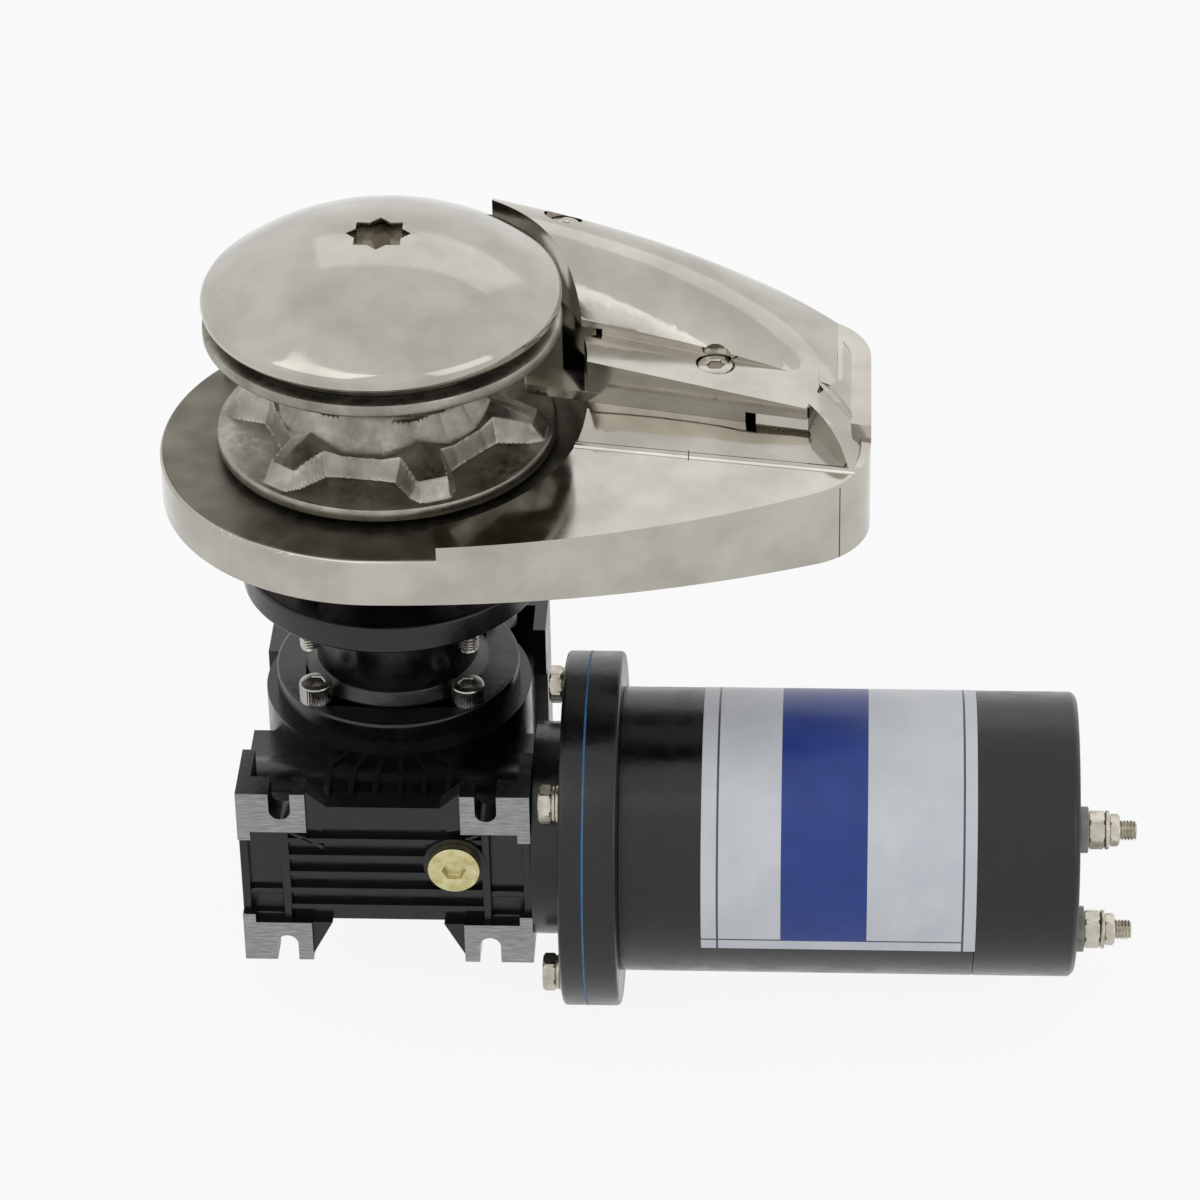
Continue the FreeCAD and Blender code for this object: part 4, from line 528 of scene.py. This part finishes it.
def chain_wheel_rings(count=480):
    """Half profile mirrored about the waist: a rim disc, then a raised star with steep pocket walls.

    Height above the disc is the star's cone less a ramp of slope 2.6 to 1 of the pocket depth."""
    angle = np.arange(count) * TURN / count
    cosine, sine = np.cos(angle), np.sin(angle)
    low, high = wheel_low[2], wheel_high[2]
    sector = TURN / POCKETS
    local = np.mod(angle - math.radians(POCKET_TURN), sector) - sector / 2
    ribness = np.clip((np.abs(local) / (sector / 2) - 0.35) / 0.6, 0, 1)
    radii = np.concatenate([np.linspace(64.6, 60.0, 10), np.linspace(59.5, 41.0, 52),
                            np.linspace(40.5, 34.5, 12)])
    face = 5.4
    rings = []
    for side, edge, rim in ((-1, low, 66.0), (1, high, wheel_high[0])):
        half = [(rim - 2.2 + 0 * angle, edge + 0 * angle),
                (rim - 0.5 + 0 * angle, edge - side * 0.5 + 0 * angle),
                (rim + 0 * angle, edge - side * 1.6 + 0 * angle),
                (rim + 0 * angle, edge - side * (face - 1.0) + 0 * angle),
                (rim - 0.6 + 0 * angle, edge - side * (face - 0.2) + 0 * angle)]
        for radius in radii:
            depth = pocket_depth(radius * np.cos(local), radius * np.abs(np.sin(local)))
            neck = max(41.5 - radius, 0) ** 1.5 * 0.5
            cone = face + 6.6 + (60.0 - radius) * (0.10 + 0.26 * ribness) + neck
            floor = face + (64.6 - radius) * 0.03
            outer = max((radius - 58.5) * 1.15, 0)
            height = np.maximum(cone - np.clip(depth * 2.6, 0, None) - outer, floor)
            height = floor + (height - floor) * min((65.2 - radius) / 0.8, 1)
            height = np.minimum(height, (high - low) / 2 - 1.0 + (34.5 - radius) * 0.05)
            half.append((radius + 0 * angle, edge - side * height))
        rings.append(half)
    inner = [(32.3, high), (26.3, high - 21.5), (18.0, high - 21.5), (18.0, low + 21.5), (26.3, low + 21.5),
             (32.3, low)]
    order = rings[0] + rings[1][::-1] + [(r + 0 * angle, z + 0 * angle) for r, z in inner]
    return np.array([np.stack([r * cosine, r * sine, z], axis=-1) for r, z in order])


rings = chain_wheel_rings()
wheel = mesh_piece("chain_wheel_casting", rings.reshape(-1, 3), grid_faces(len(rings), 480, True), CAST,
                   "chain_wheel", 38)
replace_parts(wheel, "gypsy")

# ------------------------------------------------------------------ screws, studs and nuts
STUD_RADIUS, THREAD_LENGTH = 4.0, 34.0
for index in range(1, 5):
    low, high = span("deck_bolt_%d" % index)
    at = [(low[0] + high[0]) / 2, (low[1] + high[1]) / 2, 0]
    rod = threaded_rings(STUD_RADIUS, low[2], low[2] + THREAD_LENGTH)
    top = lathe([(STUD_RADIUS, low[2] + THREAD_LENGTH + 0.5), (STUD_RADIUS, high[2] - 4.2), (8.0, high[2]),
                 (STUD_RADIUS, high[2]), (2.5, high[2] - 2.5)], 40)
    points, faces = capped(np.concatenate([rod, top]))
    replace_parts(faces_piece("deck_stud_%d" % index, along(points, "Z", at), faces, STEEL, "base"),
                "deck_bolt_%d" % index)
    low, high = span("spool_screw_%d" % index)
    at = [(low[0] + high[0]) / 2, (low[1] + high[1]) / 2, 0]
    head = socket_head_rings(6.5, low[2], high[2] - 8.0, high[2], 6.2, 4.0, 4.5, 0.22)
    points, faces = capped(head)
    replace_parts(faces_piece("cap_screw_%d" % index, along(points, "Z", at), faces, STEEL, "base"),
                "spool_screw_%d" % index)
    low, high = span("flange_bolt_%d" % index)
    at = [0, (low[1] + high[1]) / 2, (low[2] + high[2]) / 2]
    face = low[0]
    head = hex_rings(13.0, face, face + 5.3, 0.4, 96)
    hexagon = along(np.concatenate([head[:-1], lathe([(4.0, face + 5.35), (4.0, high[0])], 96)]), "X", at)
    points, faces = capped(hexagon)
    bolt = faces_piece("flange_screw_%d" % index, points, faces, ZINC, "base", 30)
    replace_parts(bolt, "flange_bolt_%d" % index)
    for step, (start, stop, reach) in enumerate(((5.3, 6.6, 6.9), (6.7, 8.0, 7.3))):
        ring = lathe([(4.1, face + start), (reach - 0.3, face + start), (reach, face + start + 0.3),
                      (reach, face + stop - 0.3), (reach - 0.3, face + stop), (4.1, face + stop)], 72)
        ring = along(ring, "X", at)
        mesh_piece("flange_washer_%d_%d" % (index, step + 1), ring.reshape(-1, 3),
                   grid_faces(len(ring), 72, True), ZINC, "base")

for name in ("front", "back"):
    low, high = span("hood_screw_" + name)
    at = [(low[0] + high[0]) / 2, (low[1] + high[1]) / 2, 0]
    head = socket_head_rings(7.0, low[2], high[2] - 4.4, high[2], 6.2, 4.0, 2.6)
    points, faces = capped(head)
    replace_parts(faces_piece("hood_cap_screw_" + name, along(points, "Z", at), faces, POLISH, "base"),
                "hood_screw_" + name)

LOCK_NUT_HEIGHT, TERMINAL_WASHER, TOP_NUT_HEIGHT = 6.5, 1.5, 4.0
for name in ("upper", "lower"):
    low, high = span("terminal_stud_" + name)
    at = [0, (low[1] + high[1]) / 2, (low[2] + high[2]) / 2]
    points, faces = capped(along(threaded_rings(STUD_RADIUS, low[0], high[0], 1.25, 0.7), "X", at))
    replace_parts(faces_piece("terminal_thread_" + name, points, faces, ZINC, "base"),
                "terminal_stud_" + name)
    face = span("terminal_nut_" + name)[0][0]
    nut_top = face + LOCK_NUT_HEIGHT
    nut = along(hex_rings(13.0, face, nut_top, 3.9), "X", at)
    piece = mesh_piece("terminal_lock_nut_" + name, nut.reshape(-1, 3), grid_faces(len(nut), 96, True),
                       ZINC, "base", 30)
    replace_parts(piece, "terminal_nut_" + name)
    washer_top = nut_top + TERMINAL_WASHER
    ring = along(lathe([(4.1, nut_top), (7.4, nut_top), (7.6, nut_top + 0.3), (7.6, washer_top - 0.3),
                        (7.4, washer_top), (4.1, washer_top)], 72), "X", at)
    mesh_piece("terminal_washer_" + name, ring.reshape(-1, 3), grid_faces(len(ring), 72, True), ZINC,
               "base")
    nut = along(hex_rings(11.0, washer_top, washer_top + TOP_NUT_HEIGHT, 3.9), "X", at)
    mesh_piece("terminal_top_nut_" + name, nut.reshape(-1, 3), grid_faces(len(nut), 96, True), ZINC,
               "base", 30)


# ------------------------------------------------------------------ guard post and nose ridge
low, high = span("guard_post")
at = [(low[0] + high[0]) / 2, (low[1] + high[1]) / 2, low[2]]
reach, tall = (high[0] - low[0]) / 2, high[2] - low[2]
crown = [(reach * math.cos(a), tall * 0.45 + tall * 0.545 * math.sin(a)) for a in np.linspace(0, 1.5, 16)]
points, faces = capped(along(lathe([(reach - 0.5, 0.0), (reach, 0.5)] + crown, 64), "Z", at))
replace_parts(faces_piece("guard_post_dome", points, faces, POLISH, "base"), "guard_post")

NOSE_TOP, NOSE_ROUND, NOSE_END = 49.0, 26.0, 187.0
RIDGE_START, RIDGE_WAY = (166.6, -2.9), (15.8, -18.1)
RIDGE_ACROSS = (0.753, 0.658)   # square to the ridge's line
RIDGE_HALF_WIDTH, RIDGE_PROUD = 2.6, 0.9


def nose_level(x):
    """The nose's top: level, then a quarter round down to its end."""
    drop = max(NOSE_ROUND - (NOSE_END - x), 0.0)
    return NOSE_TOP - NOSE_ROUND + math.sqrt(NOSE_ROUND ** 2 - drop ** 2)


def nose_ridge(count=24):
    """A low leaf along a line on the nose: four-cornered sections whose half width and height go as
    sin(pi t) along it."""
    rings = []
    for t in np.linspace(0.02, 0.98, count):
        x, y = RIDGE_START[0] + RIDGE_WAY[0] * t, RIDGE_START[1] + RIDGE_WAY[1] * t
        swell = math.sin(math.pi * t)
        across = np.array(RIDGE_ACROSS) * (RIDGE_HALF_WIDTH * swell + 0.15)
        level = nose_level(x)
        rings.append([(x + across[0], y + across[1], nose_level(min(x + across[0], 186.0)) + 0.04),
                      (x, y, min(level + RIDGE_PROUD * swell + 0.1, NOSE_TOP + 0.6)),
                      (x - across[0], y - across[1], nose_level(x - across[0]) + 0.04),
                      (x, y, level - 1.5)])
    return np.array(rings)


points, faces = capped(nose_ridge())
faces_piece("nose_ridge", points, faces, POLISH, "base", 20)


# ------------------------------------------------------------------ ribs and frames of the gearbox front
def bar_piece(name, corners, back, front, finish, width=0.6):
    """An upright prism over a polygon of x, z corners, from y = back to y = front, its edges rounded."""
    count = len(corners)
    points = [(x, y, z) for y in (back, front) for x, z in corners]
    faces = [list(range(count))[::-1], list(range(count, 2 * count))]
    faces += [[i, (i + 1) % count, count + (i + 1) % count, count + i] for i in range(count)]
    piece = faces_piece(name, points, faces, finish, "base", 30)
    work = bmesh.new()
    work.from_mesh(piece.data)
    bmesh.ops.recalc_face_normals(work, faces=work.faces)
    work.to_mesh(piece.data)
    work.free()
    bevel = piece.modifiers.new("edge_round", "BEVEL")
    bevel.width, bevel.segments = width * MM, 2
    return piece


WALL_FRONT = -80.0
BAR_FOOT = WALL_FRONT + 1.0     # the bars start inside the wall


def slanted(side, inner, outer, tall):
    """Corners of a bar between two stations x, each with its height above the motor's line."""
    (inner_x, inner_z), (outer_x, outer_z) = inner, outer
    return [(side * inner_x, motor_z + inner_z), (side * outer_x, motor_z + outer_z),
            (side * outer_x, motor_z + outer_z + tall), (side * inner_x, motor_z + inner_z + tall)]


# name, inner and outer corner as x and height, bar height, and how far it stands proud
FRONT_BARS = (("upright_bar", (37.6, -23.6), (41.0, -23.6), 47.2, 3.4),
              ("edge_bar", (53.6, -23.6), (56.9, -23.6), 47.2, 3.4),
              ("panel_sill", (40.5, -22.5), (54.2, -22.5), 3.1, 2.4),
              ("panel_shelf", (40.5, -10.6), (54.2, -10.6), 2.6, 2.4),
              ("fan_rib_low", (24.0, 11.5), (38.5, 19.5), 1.9, 3.0),
              ("fan_rib_high", (24.0, 20.5), (38.5, 23.0), 1.9, 3.0))
for side, tag in ((-1, "left"), (1, "right")):
    for name, inner, outer, tall, proud in FRONT_BARS:
        bar_piece(name + "_" + tag, slanted(side, inner, outer, tall), BAR_FOOT, WALL_FRONT - proud,
                  ENAMEL, 0.5)


# ------------------------------------------------------------------ motor label and sealant line
def label_sheet(columns=48, rows=120, lift=0.12):
    """A film on the motor: x runs along it and the angle up it; its edges are the ends of both."""
    along_x = np.linspace(LABEL_SPAN[0], LABEL_SPAN[1], columns)[None, :]
    angle = np.radians(np.linspace(LABEL_ARC[0], LABEL_ARC[1], rows))[:, None]
    sides = []
    for radius in (motor_radius + lift, motor_radius - 0.3):
        sides.append(np.stack([along_x + 0 * angle, motor_y - radius * np.cos(angle) + 0 * along_x,
                               motor_z + radius * np.sin(angle) + 0 * along_x], axis=-1))
    u = (along_x - LABEL_SPAN[0]) / (LABEL_SPAN[1] - LABEL_SPAN[0]) + 0 * angle
    v = (angle - angle[0]) / (angle[-1] - angle[0]) + 0 * along_x
    uv = np.concatenate([np.stack([u, v], axis=-1).reshape(-1, 2)] * 2)
    col, row = np.arange(columns - 1)[None, :], np.arange(rows - 1)[:, None]
    base = row * columns + col
    outer = np.stack([base, base + columns, base + columns + 1, base + 1], axis=-1).reshape(-1, 4)
    inner = outer[:, ::-1] + rows * columns
    edge = np.concatenate([np.arange(columns), np.arange(1, rows) * columns + columns - 1,
                           (rows - 1) * columns + np.arange(columns - 2, -1, -1),
                           np.arange(rows - 2, 0, -1) * columns])
    following = np.roll(edge, -1)
    rim = np.stack([edge, following, following + rows * columns, edge + rows * columns], axis=-1)
    return np.concatenate([side.reshape(-1, 3) for side in sides]), np.concatenate([outer, inner, rim]), uv


points, faces, uv = label_sheet()
mesh_piece("motor_label", points, faces, LABEL, "base", 30, uv)

bead = np.arange(10) * TURN / 10
ring = lathe(np.stack([flange_high[2] - motor_z - 0.35 + 0.5 * np.cos(bead),
                       flange_low[0] + 0.5 * np.sin(bead)], axis=-1), 180)
ring = along(ring, "X", [0, motor_y, motor_z])
mesh_piece("flange_sealant_line", ring.reshape(-1, 3), grid_faces(10, 180, True), SEALANT, "base", 60)

# ------------------------------------------------------------------ studio
low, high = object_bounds()
floor_mesh = bpy.data.meshes.new("floor")
floor_mesh.from_pydata([(-6, -6, low[2] - 0.0005), (6, -6, low[2] - 0.0005), (6, 6, low[2] - 0.0005),
                        (-6, 6, low[2] - 0.0005)], [], [(0, 1, 2, 3)])
floor = bpy.data.objects.new("floor", floor_mesh)
bpy.context.scene.collection.objects.link(floor)


def seen_white(tree, strength=1.0):
    """White to the camera, to mirrors and through glass; the plain shader to everything else."""
    path = tree.nodes.new("ShaderNodeLightPath")
    first = add(tree, "ShaderNodeMath", [(0, path, "Is Camera Ray"), (1, path, "Is Glossy Ray")],
                operation="MAXIMUM")
    any_ray = add(tree, "ShaderNodeMath", [(0, first, "Value"), (1, path, "Is Transmission Ray")],
                  operation="MAXIMUM")
    return add(tree, "ShaderNodeMath", [(0, any_ray, "Value")], {1: strength}, operation="MULTIPLY")


paper = bpy.data.materials.new("pale_floor")
paper.use_nodes = True
tree = paper.node_tree
tree.nodes.clear()
mask = seen_white(tree, 0.9)
matt = add(tree, "ShaderNodeBsdfDiffuse", inputs={"Color": colour("#f4f4f4")})
glow = add(tree, "ShaderNodeEmission", inputs={"Color": colour("#ffffff"), "Strength": 1.0})
mixed = add(tree, "ShaderNodeMixShader", [("Fac", mask, "Value"), (1, matt, "BSDF"), (2, glow, "Emission")])
add(tree, "ShaderNodeOutputMaterial", [("Surface", mixed, "Shader")])
floor_mesh.materials.append(paper)

world = bpy.data.worlds.new("studio")
bpy.context.scene.world = world
world.use_nodes = True
tree = world.node_tree
tree.nodes.clear()
mask = seen_white(tree)
soft = add(tree, "ShaderNodeBackground", inputs={"Color": colour("#e3e6ea"), "Strength": 0.6})
white = add(tree, "ShaderNodeBackground", inputs={"Color": colour("#ffffff"), "Strength": 1.0})
mixed = add(tree, "ShaderNodeMixShader", [("Fac", mask, "Value"), (1, soft, "Background"),
                                          (2, white, "Background")])
add(tree, "ShaderNodeOutputWorld", [("Surface", mixed, "Shader")])


def softbox(name, at, aim, width, height, power):
    """A rectangular lamp at a point in metres, facing another."""
    lamp = bpy.data.lights.new(name, "AREA")
    lamp.shape = "RECTANGLE"
    lamp.size, lamp.size_y, lamp.energy = width, height, power
    item = bpy.data.objects.new(name, lamp)
    bpy.context.scene.collection.objects.link(item)
    item.location = at
    item.rotation_euler = (Vector(aim) - Vector(at)).to_track_quat("-Z", "Y").to_euler()
    return item


softbox("key", (-1.4, -1.5, 2.3), (0.05, 0, -0.05), 2.6, 2.0, 12)
softbox("fill", (2.0, -1.4, 1.1), (0.08, 0, -0.08), 1.8, 1.8, 6)
softbox("back", (0.3, 2.2, 1.9), (0.05, 0, -0.05), 2.6, 1.2, 3)

# The camera stands in front of the worm side, turned a little to the left and looking down.
YAW, DROP, ROLL = math.radians(-3.26), math.radians(33.54), math.radians(-1.17)
forward = Vector((math.sin(YAW) * math.cos(DROP), math.cos(YAW) * math.cos(DROP), -math.sin(DROP)))
level_right = forward.cross(Vector((0, 0, 1))).normalized()
level_up = level_right.cross(forward)
right = level_right * math.cos(ROLL) + level_up * math.sin(ROLL)
up = level_up * math.cos(ROLL) - level_right * math.sin(ROLL)
lens = bpy.data.cameras.new("camera")
lens.sensor_width = 36.0
lens.lens = 36.0 * 4927.0 / 1200.0
camera = bpy.data.objects.new("camera", lens)
bpy.context.scene.collection.objects.link(camera)
turn = Matrix((right, up, -forward)).transposed().to_4x4()
camera.matrix_world = Matrix.Translation(Vector((0.1735, -1.6220, 1.0218))) @ turn
lens.clip_start, lens.clip_end = 0.01, 50
bpy.context.scene.camera = camera
bpy.context.scene.view_settings.view_transform = "Standard"
